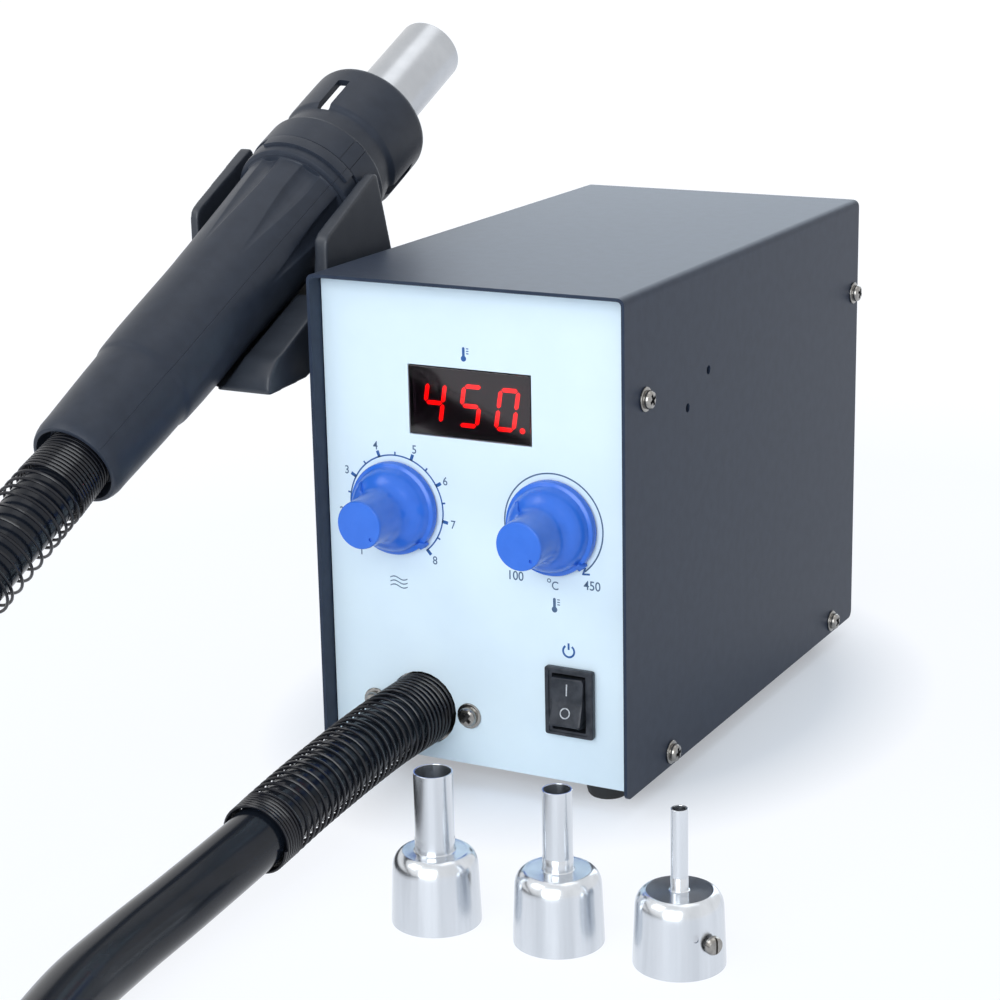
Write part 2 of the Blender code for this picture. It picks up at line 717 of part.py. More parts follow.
def make_tray():
    """The floor pan, with a lip up each side that the cover's lower screws hold."""
    front = PANEL_BACK + GAP
    rear = REAR_FACE - SHEET - GAP
    floor_low = BASE + GAP
    tray = block("chassis_tray", (-LINER, front, floor_low), (LINER, rear, TRAY_TOP), CASE)
    lip_front = PANEL_FACE + PANEL_FLANGE + 2 * GAP
    lip_rear = REAR_FACE - PANEL_FLANGE - 2 * GAP
    for side in (-1, 1):
        inner = side * (LINER - SHEET)
        outer = side * LINER
        low_x = min(inner, outer)
        high_x = max(inner, outer)
        low = (low_x, lip_front, floor_low)
        high = (high_x, lip_rear, floor_low + TRAY_LIP)
        join(tray, block(f"tray_lip_{side}", low, high))
    for number, (x, y) in enumerate(standoff_places()):
        height = STANDOFF_HEIGHT + SHEET / 2
        post = rod(f"standoff_{number}", STANDOFF_RADIUS, -SHEET / 2, height, (x, y, TRAY_TOP))
        join(tray, post)
    for name, (x, y) in foot_places().items():
        cut(tray, drill(f"foot_hole_{name}", FOOT_STEM_RADIUS + GAP, (x, y, TRAY_TOP), (0, 0, 0)))
    for side in (-1, 1):
        for word in ("lower_front", "lower_rear"):
            y, z = cover_screw_places()[word]
            cut(tray, drill(f"tray_hole_{side}_{word}", SCREW_RADIUS + GAP, (side * LINER, y, z), ALONG_X))
    return tray


def make_feet():
    stem_top = TRAY_TOP + GAP - BASE + FOOT_BARB_HEIGHT
    shoulder = FOOT_HEIGHT
    profile = [
        (0, BASE + stem_top),
        (FOOT_STEM_RADIUS, BASE + stem_top),
        (FOOT_BARB_RADIUS, TRAY_TOP + GAP),
        (FOOT_STEM_RADIUS, TRAY_TOP + GAP),
        (FOOT_STEM_RADIUS, shoulder),
        (FOOT_TOP_RADIUS, shoulder),
        (FOOT_TOP_RADIUS, shoulder * 0.75),
        (FOOT_SOLE_RADIUS, 0),
        (0, 0),
    ]
    for name, (x, y) in foot_places().items():
        turned(f"foot_{name}", profile, 12, (x, y, 0), material=BLACK_RUBBER)


def end_panel(name, face, inward, material):
    """An upright panel with a flange along each side and one over the tray; the flanges run inward."""
    back = face + inward * SHEET
    flange = face + inward * PANEL_FLANGE
    bottom = BASE + GAP
    corner = COVER_BEND - SHEET - GAP
    outline = [
        (-LINER, bottom),
        (LINER, bottom),
        (LINER, PANEL_TOP - corner),
        (LINER - corner, PANEL_TOP),
        (-LINER + corner, PANEL_TOP),
        (-LINER, PANEL_TOP - corner),
    ]
    panel = plate(name, outline, SHEET, (0, (face + back) / 2, 0), TOWARD_FRONT, material)
    y_low = min(face, flange)
    y_high = max(face, flange)
    for side in (-1, 1):
        inner = side * (LINER - SHEET)
        outer = side * LINER
        low = (min(inner, outer), y_low, TRAY_TOP + 8 * GAP)
        high = (max(inner, outer), y_high, PANEL_TOP - 2 * corner)
        join(panel, block(f"{name}_side_{side}", low, high))
    half = BASE_FLANGE_WIDTH / 2
    low = (-half, y_low, TRAY_TOP + GAP)
    high = (half, y_high, TRAY_TOP + GAP + SHEET)
    join(panel, block(f"{name}_foot", low, high))
    return panel


def make_front_panel():
    panel = end_panel("front_panel", PANEL_FACE, 1, PANEL)
    window = block(
        "window_opening",
        (WINDOW_X - WINDOW_WIDTH / 2, PANEL_FACE - SHEET, BASE + WINDOW_Z - WINDOW_HEIGHT / 2),
        (WINDOW_X + WINDOW_WIDTH / 2, PANEL_BACK + SHEET, BASE + WINDOW_Z + WINDOW_HEIGHT / 2),
    )
    half_width = SWITCH_BODY_WIDTH / 2 + GAP
    half_height = SWITCH_BODY_HEIGHT / 2 + GAP
    switch = block(
        "switch_opening",
        (ROCKER_X - half_width, PANEL_FACE - SHEET, BASE + ROCKER_Z - half_height),
        (ROCKER_X + half_width, PANEL_BACK + SHEET, BASE + ROCKER_Z + half_height),
    )
    cut(panel, window, switch)
    for name, x in (("air", AIR_KNOB_X), ("temperature", TEMPERATURE_KNOB_X)):
        place = (x, PANEL_FACE, BASE + KNOB_Z)
        cut(panel, drill(f"{name}_bushing_hole", BUSHING_RADIUS + GAP, place, TOWARD_FRONT))
    port = (PORT_X, PANEL_FACE, BASE + PORT_Z)
    cut(panel, drill("port_hole", PORT_RADIUS, port, TOWARD_FRONT, sides=24))
    for side in (-1, 1):
        place = (PORT_X + side * PORT_SCREW_SPACING / 2, PANEL_FACE, BASE + PORT_Z)
        cut(panel, drill(f"port_screw_hole_{side}", SCREW_RADIUS + GAP, place, TOWARD_FRONT))
        y, z = cover_screw_places()["upper_front"]
        cut(panel, drill(f"front_flange_hole_{side}", SCREW_RADIUS + GAP, (side * LINER, y, z), ALONG_X))
    return panel


def make_rear_panel():
    panel = end_panel("rear_panel", REAR_FACE, -1, CASE)
    half_width = INLET_BODY_WIDTH / 2 + GAP
    half_height = INLET_BODY_HEIGHT / 2 + GAP
    inlet = block(
        "inlet_opening",
        (INLET_X - half_width, REAR_FACE - 2 * SHEET, BASE + INLET_Z - half_height),
        (INLET_X + half_width, REAR_FACE + SHEET, BASE + INLET_Z + half_height),
    )
    cut(panel, inlet)
    for number in range(VENT_SLOTS):
        x = (number - (VENT_SLOTS - 1) / 2) * VENT_PITCH
        low = (x - VENT_WIDTH / 2, REAR_FACE - 2 * SHEET, BASE + VENT_Z - VENT_HEIGHT / 2)
        high = (x + VENT_WIDTH / 2, REAR_FACE + SHEET, BASE + VENT_Z + VENT_HEIGHT / 2)
        cut(panel, block(f"vent_{number}", low, high))
    for side in (-1, 1):
        y, z = cover_screw_places()["upper_rear"]
        cut(panel, drill(f"rear_flange_hole_{side}", SCREW_RADIUS + GAP, (side * LINER, y, z), ALONG_X))
    return panel


# Front panel fittings


def make_display():
    half_width = WINDOW_WIDTH / 2 - GAP
    half_height = WINDOW_HEIGHT / 2 - GAP
    z = BASE + WINDOW_Z
    lens = block(
        "display_window",
        (WINDOW_X - half_width, PANEL_FACE - WINDOW_PROUD, z - half_height),
        (WINDOW_X + half_width, LENS_BACK, z + half_height),
        SMOKED,
    )
    lip = block(
        "lens_lip",
        (WINDOW_X - half_width - WINDOW_LIP, PANEL_BACK + GAP, z - half_height - WINDOW_LIP),
        (WINDOW_X + half_width + WINDOW_LIP, LENS_BACK, z + half_height + WINDOW_LIP),
    )
    join(lens, lip)
    block(
        "led_display",
        (WINDOW_X - half_width, LENS_BACK + GAP, z - DISPLAY_HEIGHT / 2),
        (WINDOW_X + half_width, LENS_BACK + GAP + DISPLAY_DEPTH, z + DISPLAY_HEIGHT / 2),
        PLASTIC,
    )
    half_board = CASE_WIDTH / 2 - CONTROL_BOARD_MARGIN
    board_top = CASE_TOP - CONTROL_BOARD_DROP
    block(
        "control_board",
        (-half_board, BOARD_FRONT, board_top - CONTROL_BOARD_HEIGHT),
        (half_board, BOARD_FRONT + BOARD_THICKNESS, board_top),
        LAMINATE,
    )


def knob_profile():
    """Half section of a knob: its own z points out of the panel, from the panel's face."""
    cap = KNOB_CAP_RADIUS
    skirt = KNOB_SKIRT_RADIUS
    rise = KNOB_SKIRT_RISE
    foot = 2 * GAP
    bore = SHAFT_RADIUS + GAP
    return [
        (0, KNOB_REACH),
        (cap - KNOB_EDGE, KNOB_REACH),
        (cap, KNOB_REACH - KNOB_EDGE),
        (cap + KNOB_NECK_FLARE * 0.3, rise + 2 * KNOB_NECK_FLARE),
        (cap + KNOB_NECK_FLARE, rise),
        (cap + (skirt - cap) * 0.62, rise * 0.72),
        (cap + (skirt - cap) * 0.92, rise * 0.4),
        (skirt, rise * 0.18),
        (skirt, foot),
        (KNOB_RECESS_RADIUS, foot),
        (KNOB_RECESS_RADIUS, KNOB_RECESS_DEPTH),
        (bore, KNOB_RECESS_DEPTH),
        (bore, SHAFT_REACH + GAP),
        (0, SHAFT_REACH + GAP),
    ]


def make_control(word, x):
    """A potentiometer on the panel, with its nut, shaft and knob."""
    place = (x, PANEL_FACE, BASE + KNOB_Z)
    body_front = -SHEET - GAP
    body_back = PANEL_FACE - BOARD_FRONT + GAP
    floor = body_front - POT_SHAFT_DEPTH - GAP
    profile = [
        (BUSHING_RADIUS, BUSHING_REACH),
        (BUSHING_RADIUS, body_front),
        (POT_RADIUS, body_front),
        (POT_RADIUS, body_back),
        (0, body_back),
    ]
    body = turned(
        f"{word}_potentiometer",
        [(0, BUSHING_REACH), *profile],
        12,
        place,
        TOWARD_FRONT,
        PLASTIC,
    )
    bore = rod(f"{word}_bore", SHAFT_RADIUS + GAP, floor, BUSHING_REACH - floor + GAP, place, TOWARD_FRONT)
    cut(body, bore)
    nut = rod(f"{word}_pot_nut", NUT_RADIUS, GAP, NUT_THICKNESS, place, TOWARD_FRONT, 6, NICKEL)
    bore = rod(f"{word}_nut_bore", BUSHING_RADIUS + GAP, -GAP, NUT_THICKNESS + 4 * GAP, place, TOWARD_FRONT)
    cut(nut, bore)
    shaft_foot = floor + GAP
    shaft_length = SHAFT_REACH - shaft_foot
    rod(f"{word}_shaft", SHAFT_RADIUS, shaft_foot, shaft_length, place, TOWARD_FRONT, 12, NICKEL)
    knob = turned(f"{word}_knob", knob_profile(), 18, place, TOWARD_FRONT, BLUE)
    across = KNOB_SKIRT_RADIUS * cos(KNOB_POINTER_ANGLE)
    up = KNOB_SKIRT_RADIUS * sin(KNOB_POINTER_ANGLE)
    pointer = (x + across, PANEL_FACE, BASE + KNOB_Z + up)
    height = KNOB_SKIRT_RISE * 0.35
    nub = rod(f"{word}_pointer", KNOB_POINTER_RADIUS, 2 * GAP, height, pointer, TOWARD_FRONT, 8)
    join(knob, nub)


def make_rocker_switch():
    x = ROCKER_X
    z = BASE + ROCKER_Z
    housing = block(
        "rocker_housing",
        (x - BEZEL_WIDTH / 2, PANEL_FACE - BEZEL_THICKNESS - GAP, z - BEZEL_HEIGHT / 2),
        (x + BEZEL_WIDTH / 2, PANEL_FACE - GAP, z + BEZEL_HEIGHT / 2),
        PLASTIC,
    )
    bevel(housing, BEZEL_EDGE, 1)
    body = block(
        "switch_body",
        (x - SWITCH_BODY_WIDTH / 2, PANEL_FACE - GAP - BEZEL_THICKNESS / 2, z - SWITCH_BODY_HEIGHT / 2),
        (x + SWITCH_BODY_WIDTH / 2, PANEL_FACE + SWITCH_BODY_DEPTH, z + SWITCH_BODY_HEIGHT / 2),
    )
    room_x = ROCKER_WIDTH / 2 + GAP
    room_z = ROCKER_HEIGHT / 2 + ROCKER_ROOM
    room = block(
        "rocker_room",
        (x - room_x, PANEL_FACE - 3 * BEZEL_THICKNESS, z - room_z),
        (x + room_x, PANEL_FACE + ROCKER_TAIL + ROCKER_SWING, z + room_z),
    )
    pin_reach = ROCKER_WIDTH / 2 + ROCKER_PIN_REACH
    centre = (x, PANEL_FACE, z)
    pin_room = drill("rocker_pin_room", ROCKER_PIN_RADIUS + GAP, centre, ALONG_X, pin_reach + GAP, 12)
    join(housing, body)
    cut(housing, room, pin_room)
    half = ROCKER_HEIGHT / 2
    outline = [
        (-ROCKER_VALLEY, 0),
        (-ROCKER_PROUD * 0.72, half * 0.6),
        (-ROCKER_PROUD, half),
        (ROCKER_TAIL * 0.3, half),
        (ROCKER_TAIL, half * 0.35),
        (ROCKER_TAIL, -half * 0.35),
        (ROCKER_TAIL * 0.3, -half),
        (-ROCKER_PROUD, -half),
        (-ROCKER_PROUD * 0.72, -half * 0.6),
    ]
    tilted = turn_outline(outline, -ROCKER_TILT)
    rocker = plate("rocker", tilted, ROCKER_WIDTH, centre, SIDE_OUTLINE, PLASTIC)
    pins = rod("rocker_pins", ROCKER_PIN_RADIUS, -pin_reach, 2 * pin_reach, centre, ALONG_X)
    join(rocker, pins)


def turn_outline(outline, angle):
    """Turn an outline about its origin."""
    return [(u * cos(angle) - v * sin(angle), u * sin(angle) + v * cos(angle)) for u, v in outline]


def make_port():
    """The plate behind the panel that holds the hose's spring, and its two screws."""
    half = PORT_SCREW_SPACING / 2 + CLAMP_MARGIN
    z = BASE + PORT_Z
    low_z = max(z - CLAMP_HEIGHT / 2, TRAY_TOP + 2 * GAP + SHEET)
    clamp = block(
        "hose_clamp_plate",
        (PORT_X - half, PANEL_BACK + GAP, low_z),
        (PORT_X + half, CLAMP_BACK, z + CLAMP_HEIGHT / 2),
        NICKEL,
    )
    cut(clamp, drill("clamp_bore", HOSE_RADIUS + GAP, (PORT_X, PANEL_BACK, z), TOWARD_FRONT, sides=24))
    for side, word in ((-1, "left"), (1, "right")):
        place = (PORT_X + side * PORT_SCREW_SPACING / 2, PANEL_FACE, z)
        cut(clamp, drill(f"clamp_screw_hole_{side}", SCREW_RADIUS + GAP, place, TOWARD_FRONT))
        pan_screw(f"port_screw_{word}", place, TOWARD_FRONT)


# Air path


def volute(inset, reach):
    """The blower's outline in y and z about its shaft, moved inward by inset; the outlet is in front."""
    growth = VOLUTE_GROWTH
    points = []
    for step in range(16):
        angle = 210 - step * 20
        radius = VOLUTE_START_RADIUS + growth * (210 - angle) / 300 - inset
        points.append((radius * cos(radians(angle)), radius * sin(radians(angle))))
    bottom = points[-1][1]
    outlet_top = bottom + OUTLET_HEIGHT - 2 * inset
    return [*points, (-reach, bottom), (-reach, outlet_top)]


def make_blower():
    left = PORT_X - BLOWER_WIDTH / 2
    right = PORT_X + BLOWER_WIDTH / 2
    centre = (PORT_X, BLOWER_Y, BLOWER_Z)
    shell = volute(0, OUTLET_REACH)
    housing = plate("blower_housing", shell, BLOWER_WIDTH, centre, SIDE_OUTLINE, WHITE_PLASTIC)
    inside = volute(BLOWER_WALL, OUTLET_REACH + BLOWER_WALL)
    room_centre = (PORT_X - BLOWER_WALL, BLOWER_Y, BLOWER_Z)
    room = plate("blower_room", inside, BLOWER_WIDTH, room_centre, SIDE_OUTLINE)
    pilot = drill("pilot_hole", MOTOR_PILOT_RADIUS + GAP, (right, BLOWER_Y, BLOWER_Z), ALONG_X, sides=16)
    cut(housing, room, pilot)
    half_leg = BLOWER_LEG / 2
    front_y = BLOWER_Y - OUTLET_REACH * 0.6
    rear_y = BLOWER_Y + VOLUTE_START_RADIUS * 0.7
    front_top = OUTLET_Z - OUTLET_HEIGHT / 2 + BLOWER_WALL / 2
    rear_top = BLOWER_Z - VOLUTE_START_RADIUS * 0.9
    core = volute(BLOWER_WALL / 2, OUTLET_REACH)
    for word, y, top in (("front", front_y, front_top), ("rear", rear_y, rear_top)):
        low = (left + half_leg, y - half_leg, TRAY_TOP + GAP)
        leg = block(f"blower_leg_{word}", low, (right, y + half_leg, top))
        trim = plate(f"leg_trim_{word}", core, 2 * BLOWER_WIDTH, centre, SIDE_OUTLINE)
        join(housing, cut(leg, trim))
    cover_place = (left - GAP - BLOWER_WALL / 2, BLOWER_Y, BLOWER_Z)
    cover = plate("blower_cover", shell, BLOWER_WALL, cover_place, SIDE_OUTLINE, WHITE_PLASTIC)
    cut(cover, drill("inlet_hole", INLET_RADIUS, (left, BLOWER_Y, BLOWER_Z), ALONG_X, sides=24))
    make_rotor(right)
    profile = [
        (0, BLOWER_WALL),
        (MOTOR_PILOT_RADIUS, BLOWER_WALL),
        (MOTOR_PILOT_RADIUS, -GAP),
        (MOTOR_RADIUS - MOTOR_EDGE, -GAP),
        (MOTOR_RADIUS, -GAP - MOTOR_EDGE),
        (MOTOR_RADIUS, -MOTOR_LENGTH),
        (0, -MOTOR_LENGTH),
    ]
    motor = turned("blower_motor", profile, 20, (right, BLOWER_Y, BLOWER_Z), ALONG_MINUS_X, IRON)
    bore = rod(
        "motor_bore",
        ROTOR_SHAFT_RADIUS + GAP,
        -ROTOR_SHAFT_REACH - GAP,
        ROTOR_SHAFT_REACH + BLOWER_WALL + 2 * GAP,
        (right, BLOWER_Y, BLOWER_Z),
        ALONG_MINUS_X,
    )
    cut(motor, bore)


def blade_outline(angle):
    """One blade's outline: a thin arc that leans forward from root to tip."""
    inner = []
    outer = []
    for step in range(3):
        share = step / 2
        radius = BLADE_ROOT_RADIUS + (ROTOR_RADIUS - BLADE_TIP_INSET - BLADE_ROOT_RADIUS) * share
        lean = angle + radians(24) * share * share
        half = BLADE_THICKNESS / 2 / radius
        inner.append((radius * cos(lean - half), radius * sin(lean - half)))
        outer.append((radius * cos(lean + half), radius * sin(lean + half)))
    return inner + outer[::-1]


def make_rotor(wall_x):
    """The blower's wheel and its shaft; its own z points away from the motor."""
    back = BLOWER_WALL + ROTOR_CLEARANCE
    front = back + ROTOR_DISC
    profile = [
        (0, front + ROTOR_HUB_HEIGHT),
        (ROTOR_HUB_RADIUS, front + ROTOR_HUB_HEIGHT),
        (ROTOR_HUB_RADIUS, front),
        (ROTOR_RADIUS, front),
        (ROTOR_RADIUS, back),
        (ROTOR_SHAFT_RADIUS, back),
        (ROTOR_SHAFT_RADIUS, -ROTOR_SHAFT_REACH),
        (0, -ROTOR_SHAFT_REACH),
    ]
    place = (wall_x, BLOWER_Y, BLOWER_Z)
    rotor = turned("blower_rotor", profile, 24, place, ALONG_MINUS_X, WHITE_PLASTIC)
    bm = bmesh.new()
    for number in range(ROTOR_BLADES):
        outline = blade_outline(number * 2 * pi / ROTOR_BLADES)
        face = bm.faces.new([bm.verts.new((x, y, front - ROTOR_DISC / 2)) for x, y in outline])
        swept = bmesh.ops.extrude_face_region(bm, geom=[face])["geom"]
        raised = [item for item in swept if isinstance(item, bmesh.types.BMVert)]
        bmesh.ops.translate(bm, vec=(0, 0, ROTOR_BLADE_HEIGHT + ROTOR_DISC / 2), verts=raised)
    bmesh.ops.recalc_face_normals(bm, faces=bm.faces)
    join(rotor, finish(from_bmesh("rotor_blades", bm), place, ALONG_MINUS_X))


def make_duct():
    """The duct from the blower's outlet to the spout that the hose pushes onto."""
    rear = BLOWER_Y - OUTLET_REACH - GAP
    half_width = BLOWER_WIDTH / 2 - BLOWER_WALL
    half_height = OUTLET_HEIGHT / 2 - BLOWER_WALL
    spout_back = HOSE_ROOT_Y + GAP + DUCT_SPOUT_LENGTH
    sections = (
        ("air_duct", half_width + DUCT_WALL, half_height + DUCT_WALL, DUCT_SPOUT_RADIUS, 0, WHITE_PLASTIC),
        ("duct_room", half_width, half_height, DUCT_SPOUT_RADIUS - DUCT_WALL, DUCT_WALL, None),
    )
    made = []
    for name, across, up, radius, extra, material in sections:
        rings = [
            rounded_ring(across, up, rear + extra),
            rounded_ring(across, up, rear - DUCT_NECK),
            round_ring(radius, spout_back),
            round_ring(radius, HOSE_ROOT_Y + GAP - extra),
        ]
        made.append(finish(from_bmesh(name, loft(rings)), (PORT_X, 0, OUTLET_Z), material=material))
    cut(made[0], made[1])


def round_ring(radius, y):
    angles = [2 * pi * i / DUCT_SIDES for i in range(DUCT_SIDES)]
    return [(radius * cos(angle), y, radius * sin(angle)) for angle in angles]


def rounded_ring(across, up, y):
    """A rectangle's outline read at the same angles as a round one."""
    points = []
    for i in range(DUCT_SIDES):
        angle = 2 * pi * i / DUCT_SIDES + 0.0001
        scale = min(across / max(abs(cos(angle)), 1e-9), up / max(abs(sin(angle)), 1e-9))
        points.append((scale * cos(angle), y, scale * sin(angle)))
    return points


def loft(rings):
    """A closed solid through rings of as many points each."""
    bm = bmesh.new()
    rows = [[bm.verts.new(point) for point in ring] for ring in rings]
    for first, second in zip(rows, rows[1:]):
        for i in range(len(first)):
            j = (i + 1) % len(first)
            bm.faces.new((first[i], first[j], second[j], second[i]))
    bm.faces.new(rows[0])
    bm.faces.new(rows[-1])
    bmesh.ops.recalc_face_normals(bm, faces=bm.faces)
    return bm


# Power and control


def make_transformer():
    x = TRANSFORMER_X
    y = TRANSFORMER_Y
    foot = TRAY_TOP + GAP
    core = block(
        "transformer_core",
        (x - CORE_WIDTH / 2, y - CORE_LENGTH / 2, foot),
        (x + CORE_WIDTH / 2, y + CORE_LENGTH / 2, foot + CORE_HEIGHT),
        IRON,
    )
    window_low = foot + CORE_LIMB
    window_high = foot + CORE_HEIGHT - CORE_LIMB
    for side in (-1, 1):
        near = y + side * CORE_LIMB
        far = y + side * (CORE_LENGTH / 2 - CORE_LIMB)
        low = (x - CORE_WIDTH, min(near, far), window_low)
        high = (x + CORE_WIDTH, max(near, far), window_high)
        cut(core, block(f"core_window_{side}", low, high))
    coil = block(
        "transformer_coil",
        (x - CORE_WIDTH / 2 - COIL_MARGIN, y - CORE_LENGTH / 2 + CORE_LIMB + GAP, window_low + GAP),
        (x + CORE_WIDTH / 2 + COIL_MARGIN, y + CORE_LENGTH / 2 - CORE_LIMB - GAP, window_high - GAP),
        WINDING,
    )
    limb_room = block(
        "limb_room",
        (x - CORE_WIDTH / 2 - GAP, y - CORE_LIMB - GAP, window_low - GAP),
        (x + CORE_WIDTH / 2 + GAP, y + CORE_LIMB + GAP, window_high + GAP),
    )
    cut(coil, limb_room)


def make_main_board():
    bottom = TRAY_TOP + STANDOFF_HEIGHT + GAP
    top = bottom + BOARD_THICKNESS
    low = (MAIN_BOARD_LEFT, MAIN_BOARD_FRONT, bottom)
    block("main_board", low, (MAIN_BOARD_RIGHT, MAIN_BOARD_REAR, top), LAMINATE)
    half = HEAT_SINK_WIDTH / 2
    pitch = (HEAT_SINK_WIDTH - FIN_THICKNESS) / (HEAT_SINK_FINS - 1)
    outline = [(-half, 0), (half, 0)]
    for number in reversed(range(HEAT_SINK_FINS)):
        left = -half + number * pitch
        right = left + FIN_THICKNESS
        outline.append((right, HEAT_SINK_HEIGHT))
        outline.append((left, HEAT_SINK_HEIGHT))
        if number:
            outline.append((left, HEAT_SINK_BASE))
            outline.append((left - pitch + FIN_THICKNESS, HEAT_SINK_BASE))
    x = (MAIN_BOARD_LEFT + MAIN_BOARD_RIGHT) / 2
    y = (MAIN_BOARD_FRONT + MAIN_BOARD_REAR) / 2
    place = (x, y, top + GAP)
    plate("heat_sink", outline, HEAT_SINK_LENGTH, place, TOWARD_FRONT, ALUMINIUM)


def make_mains_inlet():
    z = BASE + INLET_Z
    face = REAR_FACE + GAP
    inlet = block(
        "mains_inlet",
        (INLET_X - INLET_FLANGE_WIDTH / 2, face, z - INLET_FLANGE_HEIGHT / 2),
        (INLET_X + INLET_FLANGE_WIDTH / 2, face + INLET_FLANGE_THICKNESS, z + INLET_FLANGE_HEIGHT / 2),
        PLASTIC,
    )
    body = block(
        "inlet_body",
        (INLET_X - INLET_BODY_WIDTH / 2, face - INLET_BODY_DEPTH, z - INLET_BODY_HEIGHT / 2),
        (INLET_X + INLET_BODY_WIDTH / 2, face + INLET_FLANGE_THICKNESS / 2, z + INLET_BODY_HEIGHT / 2),
    )
    mouth = face + INLET_FLANGE_THICKNESS
    socket_z = z + SOCKET_RISE
    floor = mouth - SOCKET_DEPTH
    socket = block(
        "inlet_socket",
        (INLET_X - SOCKET_WIDTH / 2, floor, socket_z - SOCKET_HEIGHT / 2),
        (INLET_X + SOCKET_WIDTH / 2, mouth + GAP, socket_z + SOCKET_HEIGHT / 2),
    )
    join(inlet, body)
    cut(inlet, socket)
    for step in (-1, 0, 1):
        x = INLET_X + step * PIN_SPACING / 2
        pin_z = socket_z + (PIN_STAGGER if step == 0 else -PIN_STAGGER)
        low = (x - PIN_WIDTH / 2, floor - PIN_ROOT, pin_z - PIN_HEIGHT / 2)
        high = (x + PIN_WIDTH / 2, floor + PIN_LENGTH, pin_z + PIN_HEIGHT / 2)
        join(inlet, block(f"inlet_pin_{step}", low, high))


# Cradle


def handle_height(y):
    """Height of the handpiece's axis at a place along the case."""
    run = (y - FLANGE_Y) / (cos(HANDPIECE_TILT) * cos(HANDPIECE_YAW))
    return CASE_TOP + FLANGE_RISE + run * sin(HANDPIECE_TILT)


def cradle_centre_x():
    """Where the handpiece's axis lies across the case at its flange."""
    back = FLANGE_THICKNESS * cos(HANDPIECE_TILT) * sin(HANDPIECE_YAW)
    return -CASE_WIDTH / 2 - FLANGE_OUT - back


def trough_outline():
    """The trough's side outline in y and z: a low rounded nose and a rim that follows the handpiece."""
    nose_y = CRADLE_NOSE_Y
    nose_z = CRADLE_NOSE_Z
    lip_y = nose_y + NOSE_LENGTH
    points = [
        (nose_y, nose_z),
        (nose_y + NOSE_LENGTH * 0.06, nose_z + NOSE_HEIGHT * 0.5),
        (nose_y + NOSE_LENGTH * 0.5, nose_z + NOSE_HEIGHT * 0.96),
    ]
    for y in (lip_y, (lip_y + EAR_FRONT_Y) / 2, EAR_FRONT_Y + CRADLE_RIM_DROP):
        points.append((y, handle_height(y) - CRADLE_RIM_DROP - CRADLE_EAR_STEP))
    points += [
        (EAR_BACK_Y - BACK_INSET, EAR_BACK_Z),
        (EAR_BACK_Y - BACK_INSET - HEEL_LENGTH, EAR_BACK_Z - HEEL_LENGTH),
        (nose_y + BELLY_LENGTH, nose_z + BELLY_RISE),
    ]
    return points


def ear_outline(shift, rise):
    """An ear's side outline in y and z, its lower edge inside the trough's wall."""
    front = EAR_FRONT_Y + shift
    apex = EAR_APEX_Y + shift
    return [
        (front, handle_height(front) - CRADLE_RIM_DROP - EAR_FOOT_SINK),
        (front, EAR_KNEE_Z + rise),
        (apex, EAR_APEX_Z + rise),
        (EAR_BACK_Y, EAR_BACK_Z + BACK_INSET),
        (EAR_BACK_Y - HEEL_LENGTH, EAR_BACK_Z - BACK_INSET),
    ]


def pad_outline():
    """The pad behind the trough that the screws hold to the case's wall."""
    (y1, z1), (y2, z2) = cradle_hole_places()
    margin = CRADLE_PAD_MARGIN
    return [
        (y1 - margin, z1 - margin * 0.5),
        (y1, z1 - margin),
        (y2 + margin, z2 - margin * 0.7),
        (y2 + margin * 0.3, handle_height(y2) - CRADLE_PAD_DROP),
        (y1 - margin, handle_height(y1 - margin) - CRADLE_PAD_DROP),
    ]


def make_cradle():
    x = cradle_centre_x()
    width = 2 * (CRADLE_HALF_WIDTH - CRADLE_EAR_STEP)
    cradle = plate("cradle", trough_outline(), width, (x, 0, 0), SIDE_OUTLINE, PLASTIC)
    bevel(cradle, CRADLE_EDGE, 2)
    ear_middle = CRADLE_HALF_WIDTH - CRADLE_EAR_THICKNESS / 2
    for side, shift, rise in ((1, 0, 0), (-1, OUTER_EAR_SHIFT, OUTER_EAR_RISE)):
        place = (x + side * ear_middle, 0, 0)
        ear = plate(f"ear_{side}", ear_outline(shift, rise), CRADLE_EAR_THICKNESS, place, SIDE_OUTLINE)
        join(cradle, bevel(ear, CRADLE_EDGE, 1))
    wall = -CASE_WIDTH / 2 - GAP
    head_face = x + CRADLE_HALF_WIDTH - CRADLE_PAD_SINK
    pad_middle = ((wall + head_face) / 2, 0, 0)
    join(cradle, plate("cradle_pad", pad_outline(), wall - head_face, pad_middle, SIDE_OUTLINE))
    room = CRADLE_HALF_ROOM
    ear_start = HANDLE_LENGTH + (EAR_FRONT_Y - FLANGE_Y) / cos(HANDPIECE_TILT) - CRADLE_ROOM_START
    trough_start = ear_start - (EAR_FRONT_Y - CRADLE_NOSE_Y) * 2
    reach = HANDLE_LENGTH + COLLAR_LENGTH
    stages = (
        ("cradle_trough", CRADLE_TROUGH_RADIUS, trough_start, ear_start + CRADLE_EDGE),
        ("cradle_room", room, ear_start, reach),
    )
    for name, radius, start, end in stages:
        channel = rod(name, radius, start, end - start, (0, 0, 0), sides=32, parent=HANDPIECE)
        sky = block(name + "_way_in", (0, -radius, start), (3 * radius, radius, end), parent=HANDPIECE)
        cut(cradle, channel, sky)
    for word, (y, z) in zip(("front", "rear"), cradle_hole_places()):
        hole = drill(f"pad_hole_{word}", SCREW_RADIUS + GAP, (wall, y, z), ALONG_X, CRADLE_SCREW_LENGTH)
        cut(cradle, hole)
        pan_screw(f"cradle_screw_{word}", (head_face, y, z), ALONG_MINUS_X, CRADLE_SCREW_LENGTH, washer=False)


# Handpiece


